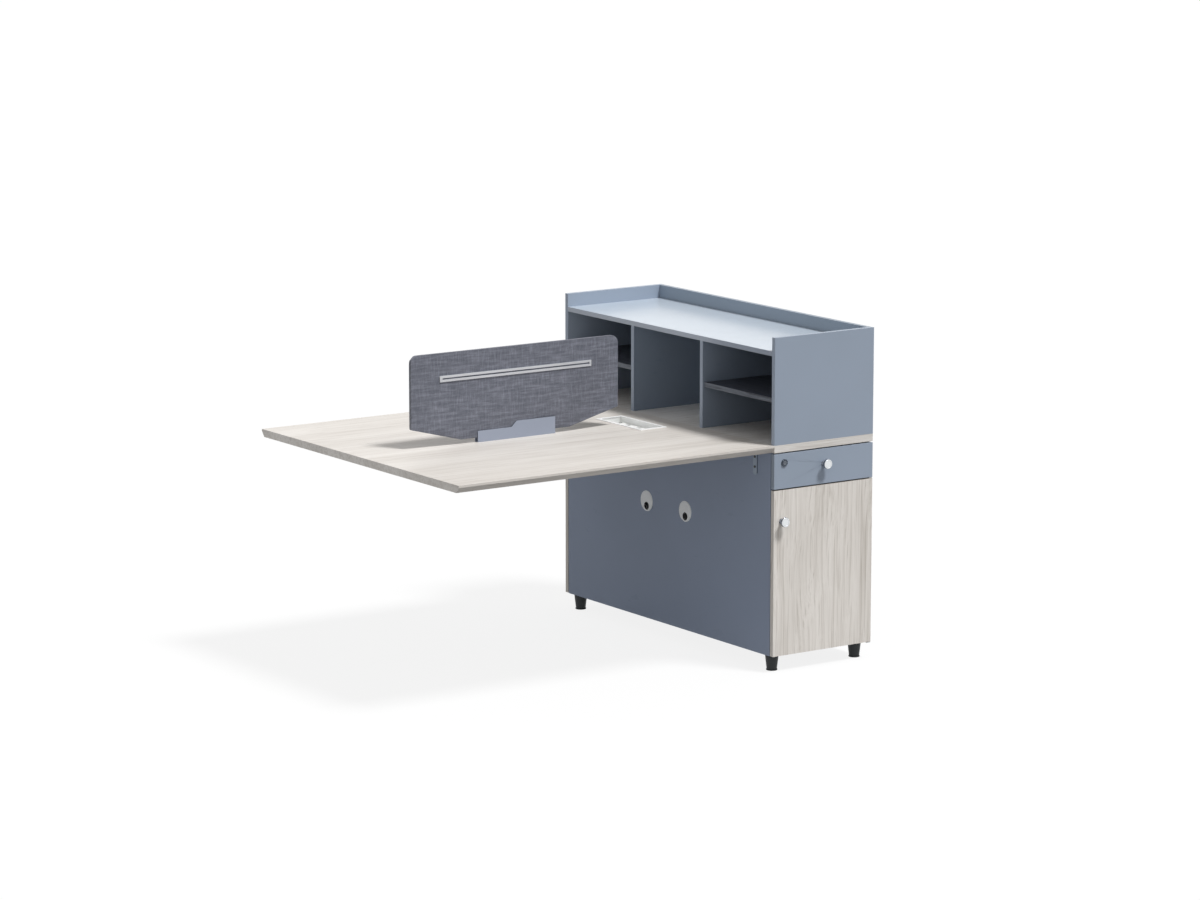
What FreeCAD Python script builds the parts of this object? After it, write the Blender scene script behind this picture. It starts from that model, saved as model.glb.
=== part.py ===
# Cubicle workstation: a desk board shared by two people who face each other,
# hung on a side cabinet with a drawer and a cupboard at each end, a hutch
# with pigeonholes on the cabinet and a fabric screen across the middle.
#
# Millimetres. The origin is on the floor under the middle of the whole part.
# X runs from the free end of the desk to the back of the cabinet, Y from the
# near user to the far one, Z up. The far end mirrors the near one.
import FreeCAD
import Part
import Sketcher
import math
import os
import re

# Driving sizes. Each one can be changed by itself.
SIZES = {
    # Desk board
    "desk_length": "1200",
    "desk_width": "1200",
    "worktop_height": "750",
    "worktop_thickness": "25",
    "edge_face": "7",
    "edge_undercut": "15",
    # Cabinet carcass
    "cabinet_depth": "400",
    "panel_thickness": "16",
    "cable_bay_width": "332",
    # Moulded feet
    "foot_height": "54",
    "foot_top_radius": "23",
    "foot_bottom_radius": "17",
    "foot_rim_radius": "18.5",
    "foot_rim_height": "4",
    "foot_stud_radius": "4",
    "foot_stud_length": "13",
    "foot_inset_side": "31",
    "foot_inset_end": "47",
    # Counterweight on the back panel
    "counterweight_side_gap": "6",
    "counterweight_headroom": "99",
    "counterweight_thickness": "16",
    "counterweight_screw_inset": "40",
    # Drawer fronts and doors
    "front_thickness": "16",
    "front_gap": "4",
    "front_seat_gap": "3",
    "door_floor_gap": "1",
    "drawer_front_height": "115",
    # Knobs
    "knob_radius": "16",
    "knob_length": "25",
    "knob_head": "9",
    "knob_rounding": "2.5",
    "knob_neck_radius": "6.5",
    "knob_base_radius": "9",
    "knob_base_thickness": "2.5",
    "knob_screw_radius": "2",
    "knob_screw_grip": "10",
    "knob_screw_head_radius": "4",
    "knob_screw_head": "2.5",
    "drawer_knob_drop": "48",
    "door_knob_drop": "102",
    "door_knob_inset": "30",
    # Drawer lock
    "lock_inset": "40",
    "lock_drop": "30",
    "lock_ring_radius": "11.5",
    "lock_ring_thickness": "4",
    "lock_barrel_radius": "9.5",
    "lock_barrel_tail": "4",
    "lock_plug_radius": "6.5",
    "lock_plug_play": "0.05",
    "key_slot_length": "7",
    "key_slot_width": "1.4",
    "key_slot_depth": "6",
    "cam_reach": "30",
    "cam_width": "12",
    "cam_thickness": "2",
    "cam_play": "0.3",
    "strike_thickness": "1.5",
    "strike_drop": "13",
    "strike_width": "34",
    "strike_flange": "22",
    "strike_play": "1",
    # Drawer boxes
    "drawer_wall": "12",
    "drawer_back_gap": "32",
    "drawer_floor_thickness": "4",
    "drawer_floor_rise": "8",
    "drawer_groove_depth": "6",
    "drawer_underside_gap": "4",
    "drawer_lock_gap": "2.5",
    # Drawer runners
    "runner_width": "12.7",
    "runner_height": "35",
    "runner_back_gap": "48",
    "runner_steel": "1.2",
    "runner_play": "0.4",
    "runner_setback": "1",
    # Door hinge leaves with their pins
    "leaf_width": "13",
    "leaf_thickness": "2",
    "leaf_flange_thickness": "1.3",
    "leaf_flange_height": "38",
    "leaf_edge_gap": "0.6",
    "pin_radius": "2",
    "pin_play": "0.05",
    "pin_length": "14",
    "pin_inset_side": "5",
    "pin_inset_face": "5.5",
    # Cupboard shelves and shelf pins
    "shelf_play": "0.5",
    "cupboard_shelf_setback": "20",
    "shelf_pin_radius": "2.5",
    "shelf_pin_length": "16",
    "shelf_pin_inset": "50",
    # Hutch
    "hutch_height": "350",
    "hutch_rim": "45",
    "hutch_shelf_setback": "6",
    # Cable grommets in the front panel
    "grommet_spacing": "222",
    "grommet_drop": "269",
    "grommet_flange_radius": "35",
    "grommet_flange_thickness": "1.8",
    "grommet_sleeve_radius": "32.6",
    "grommet_lip_radius": "29.6",
    "cap_radius": "31",
    "cap_play": "0.1",
    "cap_thickness": "2",
    "cap_hole_radius": "12",
    "cap_hole_offset": "16.8",
    # Steel brackets that hang the desk on the cabinet
    "bracket_width": "21",
    "bracket_steel": "2.5",
    "bracket_leg": "84",
    "bracket_tip_share": "0.49",
    "bracket_inset": "101",
    "bracket_hole_first": "25",
    "bracket_hole_pitch": "33",
    # Fixing screws
    "screw_radius": "2.2",
    "screw_head_radius": "4.2",
    "screw_head": "2.2",
    "screw_length": "16",
    "counterbore_radius": "5",
    "counterbore_depth": "8",
    # Threaded inserts for a leg frame
    "insert_radius": "5",
    "insert_length": "13",
    "insert_bore_radius": "3",
    "insert_setback": "60",
    "insert_pitch": "64",
    "insert_span": "1000",
    # Socket box let into the desk
    "socket_bracket_gap": "6.5",
    "socket_length": "262",
    "socket_width": "105",
    "socket_rim": "10",
    "socket_rim_thickness": "3",
    "socket_rim_cover": "5",
    "socket_cut_play": "1",
    "tray_depth": "60",
    "tray_wall": "2",
    "outlet_drop": "17",
    "outlet_width": "46",
    "outlet_length": "200",
    "outlet_recess_radius": "19",
    "outlet_recess_depth": "12",
    "outlet_pitch": "64",
    # Screen with its slotted rails
    "screen_length": "800",
    "screen_rise": "14",
    "screen_height": "288",
    "screen_thickness": "12",
    "screen_corner_run": "190",
    "screen_corner_rise": "50",
    "screen_rounding": "28",
    "rail_length": "585",
    "rail_height": "20",
    "rail_drop": "73",
    "rail_recess": "2",
    "rail_proud": "3",
    "rail_slot": "5",
    "rail_slot_depth": "3.5",
    "rail_entry_radius": "4",
    "rail_slot_inset": "10",
    # Screen clamp
    "clamp_length": "300",
    "clamp_low": "37",
    "clamp_high": "56",
    "clamp_step_run": "20",
    "clamp_wall": "2",
    "clamp_pad": "1.5",
    "clamp_pad_inset": "8",
    "clamp_pad_drop": "3",
    "clamp_screw_inset": "40",
}

# Places and sizes that follow from the driving sizes
PLACES = {
    "half_width": "desk_width / 2",
    "rear_x": "(desk_length + cabinet_depth) / 2",
    "free_x": "-rear_x",
    "face_x": "rear_x - cabinet_depth",
    "desk_middle_x": "free_x + desk_length / 2",
    "inner_face_x": "face_x + panel_thickness",
    "inner_rear_x": "rear_x - panel_thickness",
    "carcass_middle_x": "face_x + cabinet_depth / 2",
    "board_under": "worktop_height - worktop_thickness",
    "front_back": "half_width - front_thickness",
    "carcass_end": "front_back - front_seat_gap",
    "partition_inner": "cable_bay_width / 2",
    "partition_outer": "partition_inner + panel_thickness",
    "base_top": "foot_height + panel_thickness",
    "drawer_front_top": "board_under - front_gap",
    "drawer_front_bottom": "drawer_front_top - drawer_front_height",
    "door_top": "drawer_front_bottom - front_gap",
    "door_bottom": "foot_height + door_floor_gap",
    "deck_bottom": "drawer_front_bottom - front_gap / 2 - panel_thickness / 2",
    "deck_top": "deck_bottom + panel_thickness",
    "foot_face_x": "face_x + foot_inset_side",
    "foot_rear_x": "rear_x - foot_inset_side",
    "foot_end": "half_width - foot_inset_end",
    "lock_x": "face_x + lock_inset",
    "lock_height": "drawer_front_top - lock_drop",
    "lock_tail": "front_back - lock_barrel_tail",
    "cam_face": "lock_tail - cam_play",
    "strike_end": "lock_tail + strike_play",
    "drawer_knob_height": "drawer_front_top - drawer_knob_drop",
    "door_knob_height": "door_top - door_knob_drop",
    "door_knob_x": "face_x + door_knob_inset",
    "drawer_left_x": "inner_face_x + runner_width",
    "drawer_right_x": "inner_rear_x - runner_width",
    "drawer_bottom": "deck_top + drawer_underside_gap",
    "drawer_top": "lock_height - lock_barrel_radius - drawer_lock_gap",
    "drawer_middle": "(drawer_bottom + drawer_top) / 2",
    "drawer_inner_end": "partition_outer + drawer_back_gap",
    "runner_outer_end": "carcass_end - runner_setback",
    "runner_length": "runner_outer_end - partition_outer - runner_back_gap",
    "runner_middle_end": "runner_outer_end - runner_length / 2",
    "runner_tip": "runner_width - runner_steel - runner_play",
    "runner_middle_web": "runner_steel + runner_play",
    "runner_middle_height": "runner_height - 2 * (runner_steel + runner_play)",
    "runner_inner_height": "runner_middle_height - 2 * (runner_steel + runner_play)",
    "pin_x": "rear_x - pin_inset_side",
    "pin_end": "half_width - pin_inset_face",
    "leaf_left_x": "rear_x - leaf_edge_gap - leaf_width",
    "leaf_right_x": "rear_x - leaf_edge_gap",
    "leaf_outer_end": "half_width - leaf_edge_gap",
    "leaf_flange_end": "carcass_end + leaf_flange_thickness",
    "upper_leaf_bottom": "door_top + (front_gap - leaf_thickness) / 2",
    "lower_leaf_bottom": "foot_height - leaf_thickness",
    "cupboard_middle": "(base_top + deck_bottom) / 2",
    "cupboard_shelf_bottom": "cupboard_middle - panel_thickness / 2",
    "cupboard_shelf_end": "carcass_end - cupboard_shelf_setback",
    "shelf_pin_reach": "shelf_pin_length / 2",
    "hutch_top_height": "worktop_height + hutch_height",
    "hutch_end": "half_width - panel_thickness",
    "hutch_ceiling": "hutch_top_height - hutch_rim - panel_thickness",
    "hutch_partition_inner": "(hutch_end - panel_thickness) / 3",
    "hutch_partition_outer": "hutch_partition_inner + panel_thickness",
    "hutch_shelf_bottom": "(worktop_height + hutch_ceiling - panel_thickness) / 2",
    "hutch_shelf_front_x": "face_x + hutch_shelf_setback",
    "grommet_height": "board_under - grommet_drop",
    "cap_seat": "cap_thickness + cap_play - grommet_flange_thickness",
    "bracket_end": "half_width - bracket_inset",
    "bracket_hole_high": "board_under - bracket_hole_first",
    "bracket_hole_low": "bracket_hole_high - bracket_hole_pitch",
    "bracket_hole_near_x": "face_x - bracket_hole_first",
    "bracket_hole_off_x": "bracket_hole_near_x - bracket_hole_pitch",
    "screw_shank": "screw_length - screw_head",
    "insert_first_x": "free_x + insert_setback",
    "insert_second_x": "insert_first_x + insert_pitch",
    "socket_x": "face_x - bracket_leg - socket_bracket_gap - socket_width / 2",
    "socket_left_x": "socket_x - socket_width / 2",
    "socket_right_x": "socket_x + socket_width / 2",
    "socket_end": "socket_length / 2",
    "tray_left_x": "socket_left_x + socket_rim_cover + socket_cut_play",
    "tray_right_x": "socket_right_x - socket_rim_cover - socket_cut_play",
    "tray_end": "socket_end - socket_rim_cover - socket_cut_play",
    "tray_bottom": "worktop_height - tray_depth",
    "outlet_top": "worktop_height - outlet_drop",
    "outlet_left_x": "tray_right_x - tray_wall - outlet_width",
    "screen_x": "desk_middle_x",
    "screen_bottom": "worktop_height + screen_rise",
    "screen_half_flat": "screen_length / 2 - screen_corner_run",
    "screen_face": "screen_thickness / 2",
    "rail_top": "screen_bottom + screen_height - rail_drop",
    "rail_bottom": "rail_top - rail_height",
    "rail_middle": "rail_top - rail_height / 2",
    "rail_seat": "screen_face - rail_recess",
    "rail_face": "screen_face + rail_proud",
    "clamp_width": "screen_thickness + 2 * (clamp_pad + clamp_wall)",
    "clamp_gap_end": "clamp_width / 2 - clamp_wall",
    "clamp_half": "clamp_length / 2",
    "clamp_floor": "worktop_height + clamp_wall",
    "counterweight_face_x": "inner_rear_x - counterweight_thickness",
    "counterweight_width": "cable_bay_width - 2 * counterweight_side_gap",
    "counterweight_height": "board_under - base_top - counterweight_headroom",
}

# The two ends of the cabinet and the way each one faces along Y
ENDS = (("near", -1), ("far", 1))
ALIASES = {*SIZES, *PLACES}
TURNED = {
    "X": FreeCAD.Rotation(FreeCAD.Vector(0, 1, 0), 90),
    "Y": FreeCAD.Rotation(FreeCAD.Vector(1, 0, 0), -90),
    "Z": FreeCAD.Rotation(),
}
HALF_TURN = FreeCAD.Rotation(FreeCAD.Vector(0, 0, 1), 180)

document = FreeCAD.newDocument("cubicle_workstation")
sheet = document.addObject("Spreadsheet::Sheet", "Sizes")
nodes = []


def fill_sheet():
    """Write the driving sizes as numbers and the places as formulas, each with its alias."""
    cells = {**SIZES, **{alias: f"={formula}" for alias, formula in PLACES.items()}}
    for row, (alias, text) in enumerate(cells.items(), start=1):
        sheet.set(f"A{row}", alias)
        sheet.set(f"B{row}", text)
        sheet.setAlias(f"B{row}", alias)
    document.recompute()


def bind(item, setting, formula):
    """Tie one setting of an object to a formula of the sheet's aliases."""
    def with_sheet(word):
        return f"Sizes.{word[0]}" if word[0] in ALIASES else word[0]
    item.setExpression(setting, re.sub(r"[a-z][a-z_0-9]*", with_sheet, formula))


def place(item, x="0", y="0", z="0"):
    """Tie an object's place to three formulas."""
    for axis, formula in (("x", x), ("y", y), ("z", z)):
        bind(item, f"Placement.Base.{axis}", formula)


def node(item, label):
    """Keep an object as a named piece of the part."""
    item.Label = label
    nodes.append(item)
    return item


def towards(side, inner, outer):
    """The low and high Y of a span that lies between two distances from the middle."""
    if side < 0:
        return f"-({outer})", f"-({inner})"
    return inner, outer


def board(name, x, y, z):
    """A flat board or plate between a low and a high formula on each axis."""
    box = document.addObject("Part::Box", name)
    for setting, (low, high) in (("Length", x), ("Width", y), ("Height", z)):
        bind(box, setting, f"({high}) - ({low})")
    place(box, x[0], y[0], z[0])
    return box


def rod(name, radius, axis, x, y, z):
    """A round bar along one axis, whose coordinate there is a low and a high formula."""
    bar = document.addObject("Part::Cylinder", name)
    bar.Placement = FreeCAD.Placement(FreeCAD.Vector(), TURNED[axis])
    bind(bar, "Radius", radius)
    span = {"X": x, "Y": y, "Z": z}[axis]
    bind(bar, "Height", f"({span[1]}) - ({span[0]})")
    place(bar, *[span[0] if name_of == axis else value for name_of, value in zip("XYZ", (x, y, z))])
    return bar


def group(name, pieces):
    """Separate solids kept together."""
    compound = document.addObject("Part::Compound", name)
    compound.Links = pieces
    return compound


def less(name, piece, tools):
    """A piece with holes where the given solids pass through it."""
    cut = document.addObject("Part::Cut", name)
    cut.Base = piece
    cut.Tool = tools[0] if len(tools) == 1 else group(f"{name}_tools", tools)
    return cut


def joined(name, pieces):
    """One solid made of several simple ones."""
    fuse = document.addObject("Part::MultiFuse", name)
    fuse.Shapes = pieces
    fuse.Refine = True
    return fuse


def hold(sketch, kind, index, start, formula):
    """Hold one coordinate of a corner at a formula, or on the sketch's axis where it is zero.

    In a sketch, the ends of a line are its points 1 and 2. The horizontal axis with the
    origin as its point is -1, and the vertical axis is -2.
    """
    if formula == "0":
        axis = -2 if kind == "DistanceX" else -1
        sketch.addConstraint(Sketcher.Constraint("PointOnObject", index, 1, axis))
        return
    limit = Sketcher.Constraint(kind, -1, 1, index, 1, start)
    bind(sketch, f"Constraints[{sketch.addConstraint(limit)}]", formula)


def outline(body, plane, corners):
    """A closed outline of straight lines on one of the body's own origin planes.

    The lines start as a regular polygon, and the sheet then sets every corner.
    """
    sketch = body.newObject("Sketcher::SketchObject", f"{body.Name}_outline")
    origin_plane = next(item for item in body.Origin.OriginFeatures if item.Role == plane)
    sketch.AttachmentSupport = [(origin_plane, "")]
    sketch.MapMode = "FlatFace"
    turn = 2 * math.pi / len(corners)
    starts = [FreeCAD.Vector(math.cos(turn * i), math.sin(turn * i), 0) for i in range(len(corners))]
    for start, finish in zip(starts, starts[1:] + starts[:1]):
        sketch.addGeometry(Part.LineSegment(start, finish), False)
    for index in range(len(corners)):
        before = (index or len(corners)) - 1
        sketch.addConstraint(Sketcher.Constraint("Coincident", before, 2, index, 1))
    for index, (across, up) in enumerate(corners):
        hold(sketch, "DistanceX", index, starts[index].x, across)
        hold(sketch, "DistanceY", index, starts[index].y, up)
    return sketch


def padded(name, plane, corners, length):
    """A body of one outline, thickened evenly to both sides of its plane."""
    body = document.addObject("PartDesign::Body", name)
    sketch = outline(body, plane, corners)
    pad = body.newObject("PartDesign::Pad", f"{name}_pad")
    pad.Profile = sketch
    pad.SideType = "Symmetric"
    bind(pad, "Length", length)
    return body


def turned(name, plane, axis, corners):
    """A body turned from one outline round an axis of its sketch."""
    body = document.addObject("PartDesign::Body", name)
    sketch = outline(body, plane, corners)
    revolution = body.newObject("PartDesign::Revolution", f"{name}_turning")
    revolution.Profile = sketch
    revolution.ReferenceAxis = (sketch, [axis])
    revolution.Angle = 360
    return body


def rounded(body, radius, wanted):
    """Round the edges of a body whose middle point passes a test."""
    document.recompute()
    sharp = body.Tip
    names = [f"Edge{number}" for number, edge in enumerate(sharp.Shape.Edges, start=1) if wanted(edge)]
    fillet = body.newObject("PartDesign::Fillet", f"{body.Name}_fillet")
    fillet.Base = (sharp, names)
    bind(fillet, "Radius", radius)
    return body


def size(alias):
    """A value of the sheet, for picking edges by their place."""
    return float(sheet.get(alias))


def near_to(value, alias):
    """Whether a coordinate is the sheet's value."""
    return math.isclose(value, size(alias), abs_tol=1e-6)


def screw(name, axis, direction, x, y, z):
    """A pan-head screw. The given coordinate along its axis is the seat of the head."""
    seat = {"X": x, "Y": y, "Z": z}[axis]
    shank = (seat, f"{seat} + screw_shank") if direction > 0 else (f"{seat} - screw_shank", seat)
    head = (f"{seat} - screw_head", seat) if direction > 0 else (seat, f"{seat} + screw_head")

    def bar(part, radius, span):
        spots = [span if letter == axis else value for letter, value in zip("XYZ", (x, y, z))]
        return rod(f"{name}_{part}", radius, axis, *spots)

    return joined(name, [bar("shank", "screw_radius", shank), bar("head", "screw_head_radius", head)])


def shelf_pins():
    """Four pins under each shelf, half in the boards on its two sides."""
    hutch_low = "hutch_shelf_bottom - shelf_pin_radius"
    cupboard_low = "cupboard_shelf_bottom - shelf_pin_radius"
    pins = {"hutch": [], "cupboard": []}
    for end, side in ENDS:
        for spot, x in (("front", "hutch_shelf_front_x + shelf_pin_inset"),
                        ("rear", "inner_rear_x - shelf_pin_inset")):
            for wall, y in (("side", "hutch_end"), ("partition", "hutch_partition_outer")):
                span = towards(side, f"{y} - shelf_pin_reach", f"{y} + shelf_pin_reach")
                pins["hutch"].append(
                    rod(f"{end}_hutch_{spot}_{wall}_pin", "shelf_pin_radius", "Y", x, span, hutch_low))
        for spot, y in (("outer", "cupboard_shelf_end - shelf_pin_inset"),
                        ("inner", "partition_outer + shelf_pin_inset")):
            for wall, x in (("face", "inner_face_x"), ("rear", "inner_rear_x")):
                span = (f"{x} - shelf_pin_reach", f"{x} + shelf_pin_reach")
                pins["cupboard"].append(
                    rod(f"{end}_cupboard_{spot}_{wall}_pin", "shelf_pin_radius", "X",
                        span, f"{side} * ({y})", cupboard_low))
    node(group("shelf_pins", pins["hutch"] + pins["cupboard"]), "shelf_pins")
    return pins


def fixing_screws():
    """The identical screws of the brackets, the clamp and the counterweight."""
    screws = {"panel": [], "desk": [], "rear": []}
    for spot, y in (("near", "-bracket_end"), ("middle", "0"), ("far", "bracket_end")):
        for row, z in (("high", "bracket_hole_high"), ("low", "bracket_hole_low")):
            seat = "face_x - bracket_steel"
            screws["panel"].append(screw(f"{spot}_{row}_bracket_screw", "X", 1, seat, y, z))
        for row, x in (("inner", "bracket_hole_near_x"), ("outer", "bracket_hole_off_x")):
            seat = "board_under - bracket_steel"
            screws["desk"].append(screw(f"{spot}_{row}_bracket_screw", "Z", 1, x, y, seat))
    for spot, sign in (("first", "-"), ("second", "+")):
        x = f"screen_x {sign} (clamp_half - clamp_screw_inset)"
        screws["desk"].append(screw(f"{spot}_clamp_screw", "Z", -1, x, "0", "clamp_floor"))
    for end, side in ENDS:
        y = f"{side} * (counterweight_width / 2 - counterweight_screw_inset)"
        for row, z in (("low", "base_top + counterweight_screw_inset"),
                       ("high", "base_top + counterweight_height - counterweight_screw_inset")):
            seat = "counterweight_face_x + counterbore_depth"
            screws["rear"].append(screw(f"{end}_{row}_counterweight_screw", "X", 1, seat, y, z))
    node(group("fixing_screws", screws["panel"] + screws["desk"] + screws["rear"]), "fixing_screws")
    return screws


def cabinet_feet():
    """Four tapered moulded feet with a stud that is driven into the boards above."""
    profile = [
        ("0", "0"), ("foot_rim_radius", "0"), ("foot_rim_radius", "foot_rim_height"),
        ("foot_bottom_radius", "foot_rim_height"), ("foot_top_radius", "foot_height"),
        ("foot_stud_radius", "foot_height"), ("foot_stud_radius", "foot_height + foot_stud_length"),
        ("0", "foot_height + foot_stud_length"),
    ]
    feet, studs = [], []
    for end, side in ENDS:
        for spot, x in (("face", "foot_face_x"), ("rear", "foot_rear_x")):
            foot = turned(f"{end}_{spot}_foot", "XZ_Plane", "V_Axis", profile)
            place(foot, x, f"{side} * foot_end")
            feet.append(foot)
            studs.append(rod(f"{end}_{spot}_stud_hole", "foot_stud_radius", "Z", x, f"{side} * foot_end",
                             ("foot_height", "foot_height + foot_stud_length")))
    node(group("cabinet_feet", feet), "cabinet_feet")
    return studs


def grommets():
    """Two rings in the front panel, each with a cap that turns and has a hole off its middle."""
    ring_profile = [
        ("-grommet_flange_thickness", "cap_radius + cap_play"),
        ("-grommet_flange_thickness", "grommet_flange_radius"),
        ("0", "grommet_flange_radius"), ("0", "grommet_sleeve_radius"),
        ("panel_thickness", "grommet_sleeve_radius"), ("panel_thickness", "grommet_lip_radius"),
        ("cap_seat", "grommet_lip_radius"), ("cap_seat", "cap_radius + cap_play"),
    ]
    rings, holes = [], []
    for end, side in ENDS:
        y = f"{side} * grommet_spacing / 2"
        ring = turned(f"{end}_grommet_ring", "XY_Plane", "H_Axis", ring_profile)
        place(ring, "face_x", y, "grommet_height")
        rings.append(ring)
        holes.append(rod(f"{end}_grommet_hole", "grommet_sleeve_radius", "X",
                         ("face_x", "inner_face_x"), y, "grommet_height"))
        span = ("face_x - grommet_flange_thickness", "face_x - grommet_flange_thickness + cap_thickness")
        disc = rod(f"{end}_cap_disc", "cap_radius", "X", span, y, "grommet_height")
        hole = rod(f"{end}_cap_hole", "cap_hole_radius", "X", span, y, "grommet_height - cap_hole_offset")
        node(less(f"{end}_grommet_cap", disc, [hole]), f"{end}_grommet_cap")
    node(group("grommet_rings", rings), "grommet_rings")
    return holes


def cabinet_carcass(pins, screws, studs, holes):
    """The long panels, base, partitions, decks, shelves and counterweight."""
    across = ("inner_face_x", "inner_rear_x")
    along = ("-carcass_end", "carcass_end")
    upright = ("foot_height", "board_under")
    front = board("front_panel_blank", ("face_x", "inner_face_x"), along, upright)
    tools = holes + screws["panel"] + pins["cupboard"]
    node(less("cabinet_front_panel", front, tools), "cabinet_front_panel")
    rear = board("back_panel_blank", ("inner_rear_x", "rear_x"), along, upright)
    node(less("cabinet_back_panel", rear, screws["rear"] + pins["cupboard"]), "cabinet_back_panel")
    base = board("base_panel_blank", across, along, ("foot_height", "base_top"))
    node(less("cabinet_base_panel", base, studs), "cabinet_base_panel")
    shelf_span = ("inner_face_x + shelf_play", "inner_rear_x - shelf_play")
    shelf_rise = ("cupboard_shelf_bottom", "cupboard_shelf_bottom + panel_thickness")
    decks, shelves = [], []
    for end, side in ENDS:
        wall = towards(side, "partition_inner", "partition_outer")
        node(board(f"{end}_partition", across, wall, ("base_top", "board_under")), f"{end}_partition")
        room = towards(side, "partition_outer", "carcass_end")
        decks.append(board(f"{end}_drawer_deck", across, room, ("deck_bottom", "deck_top")))
        room = towards(side, "partition_outer + shelf_play", "cupboard_shelf_end")
        shelves.append(board(f"{end}_cupboard_shelf", shelf_span, room, shelf_rise))
    node(group("drawer_decks", decks), "drawer_decks")
    node(group("cupboard_shelves", shelves), "cupboard_shelves")


def counterweight(screws):
    """A steel plate on the back panel that keeps the hanging desk from tipping the cabinet."""
    blank = board("counterweight_blank", ("counterweight_face_x", "inner_rear_x"),
                  ("-counterweight_width / 2", "counterweight_width / 2"),
                  ("base_top", "base_top + counterweight_height"))
    bores = []
    for end, side in ENDS:
        y = f"{side} * (counterweight_width / 2 - counterweight_screw_inset)"
        for row, z in (("low", "base_top + counterweight_screw_inset"),
                       ("high", "base_top + counterweight_height - counterweight_screw_inset")):
            span = ("counterweight_face_x", "counterweight_face_x + counterbore_depth")
            bores.append(rod(f"{end}_{row}_counterbore", "counterbore_radius", "X", span, y, z))
    node(less("counterweight_plate", blank, bores + screws["rear"]), "counterweight_plate")


def drawer_runners(end, side):
    """The three steel members on both sides of a drawer, each a channel nested in the last."""
    members = {
        "outer": ("0", "runner_tip", "runner_steel", "runner_height"),
        "middle": ("runner_middle_web", "runner_tip", "runner_steel", "runner_middle_height"),
        "inner": ("runner_width", "2 * runner_middle_web", "-runner_steel", "runner_inner_height"),
    }
    made = {}
    for member, (web, tip, steel, height) in members.items():
        face = f"({web}) + ({steel})"
        profile = [
            (web, f"-({height}) / 2"), (tip, f"-({height}) / 2"), (tip, f"runner_steel - ({height}) / 2"),
            (face, f"runner_steel - ({height}) / 2"), (face, f"({height}) / 2 - runner_steel"),
            (tip, f"({height}) / 2 - runner_steel"), (tip, f"({height}) / 2"), (web, f"({height}) / 2"),
        ]
        made[member] = []
        for hand, x, turn in (("left", "inner_face_x", TURNED["Z"]), ("right", "inner_rear_x", HALF_TURN)):
            channel = padded(f"{end}_{hand}_{member}_member", "XZ_Plane", profile, "runner_length")
            channel.Placement = FreeCAD.Placement(FreeCAD.Vector(), turn)
            place(channel, x, f"{side} * runner_middle_end", "drawer_middle")
            made[member].append(channel)
    node(group(f"{end}_runner_middles", made["middle"]), f"{end}_runner_middles")
    node(group(f"{end}_runner_inners", made["inner"]), f"{end}_runner_inners")
    return made["outer"]


def drawer_box(end, side, screw_hole):
    """The four boards of a drawer and the thin bottom in their grooves."""
    left = ("drawer_left_x", "drawer_left_x + drawer_wall")
    right = ("drawer_right_x - drawer_wall", "drawer_right_x")
    between = (left[1], right[0])
    whole = towards(side, "drawer_inner_end", "front_back")
    front = towards(side, "front_back - drawer_wall", "front_back")
    back = towards(side, "drawer_inner_end", "drawer_inner_end + drawer_wall")
    rise = ("drawer_bottom", "drawer_top")
    floor = board(f"{end}_drawer_bottom",
                  ("drawer_left_x + drawer_groove_depth", "drawer_right_x - drawer_groove_depth"),
                  towards(side, "drawer_inner_end + drawer_groove_depth",
                          "front_back - drawer_groove_depth"),
                  ("drawer_bottom + drawer_floor_rise",
                   "drawer_bottom + drawer_floor_rise + drawer_floor_thickness"))
    walls = []
    for name, x, y in (("left", left, whole), ("right", right, whole), ("front", between, front),
                       ("back", between, back)):
        wall = board(f"{end}_box_{name}_blank", x, y, rise)
        tools = [floor, screw_hole] if name == "front" else [floor]
        walls.append(less(f"{end}_box_{name}", wall, tools))
    node(group(f"{end}_drawer_box", walls), f"{end}_drawer_box")
    node(floor, f"{end}_drawer_bottom")


def knob(name, side, x, z):
    """A round turned knob with a flat rounded head and a threaded bore in its base."""
    profile = [
        ("knob_screw_radius", "0"), ("knob_base_radius", "0"), ("knob_base_radius", "knob_base_thickness"),
        ("knob_neck_radius", "2 * knob_base_thickness"),
        ("knob_neck_radius", "knob_length - knob_head - knob_rounding"),
        ("knob_radius - knob_rounding", "knob_length - knob_head"),
        ("knob_radius", "knob_length - knob_head + knob_rounding / 2"),
        ("knob_radius", "knob_length - knob_rounding / 2"),
        ("knob_radius - knob_rounding / 2", "knob_length"), ("0", "knob_length"),
        ("0", "knob_screw_grip"), ("knob_screw_radius", "knob_screw_grip"),
    ]
    body = turned(name, "XY_Plane", "V_Axis", profile)
    body.Placement = FreeCAD.Placement(FreeCAD.Vector(), HALF_TURN if side < 0 else TURNED["Z"])
    place(body, x, f"{side} * half_width", z)
    node(body, name)


def knob_screw(name, side, x, z, seat):
    """The screw that holds a knob from behind its board. The seat is its head's distance from the middle."""
    shank = rod(f"{name}_shank", "knob_screw_radius", "Y", x,
                towards(side, seat, "half_width + knob_screw_grip"), z)
    head = rod(f"{name}_head", "knob_screw_head_radius", "Y", x,
               towards(side, f"{seat} - knob_screw_head", seat), z)
    node(joined(name, [shank, head]), name)
    return shank


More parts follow.
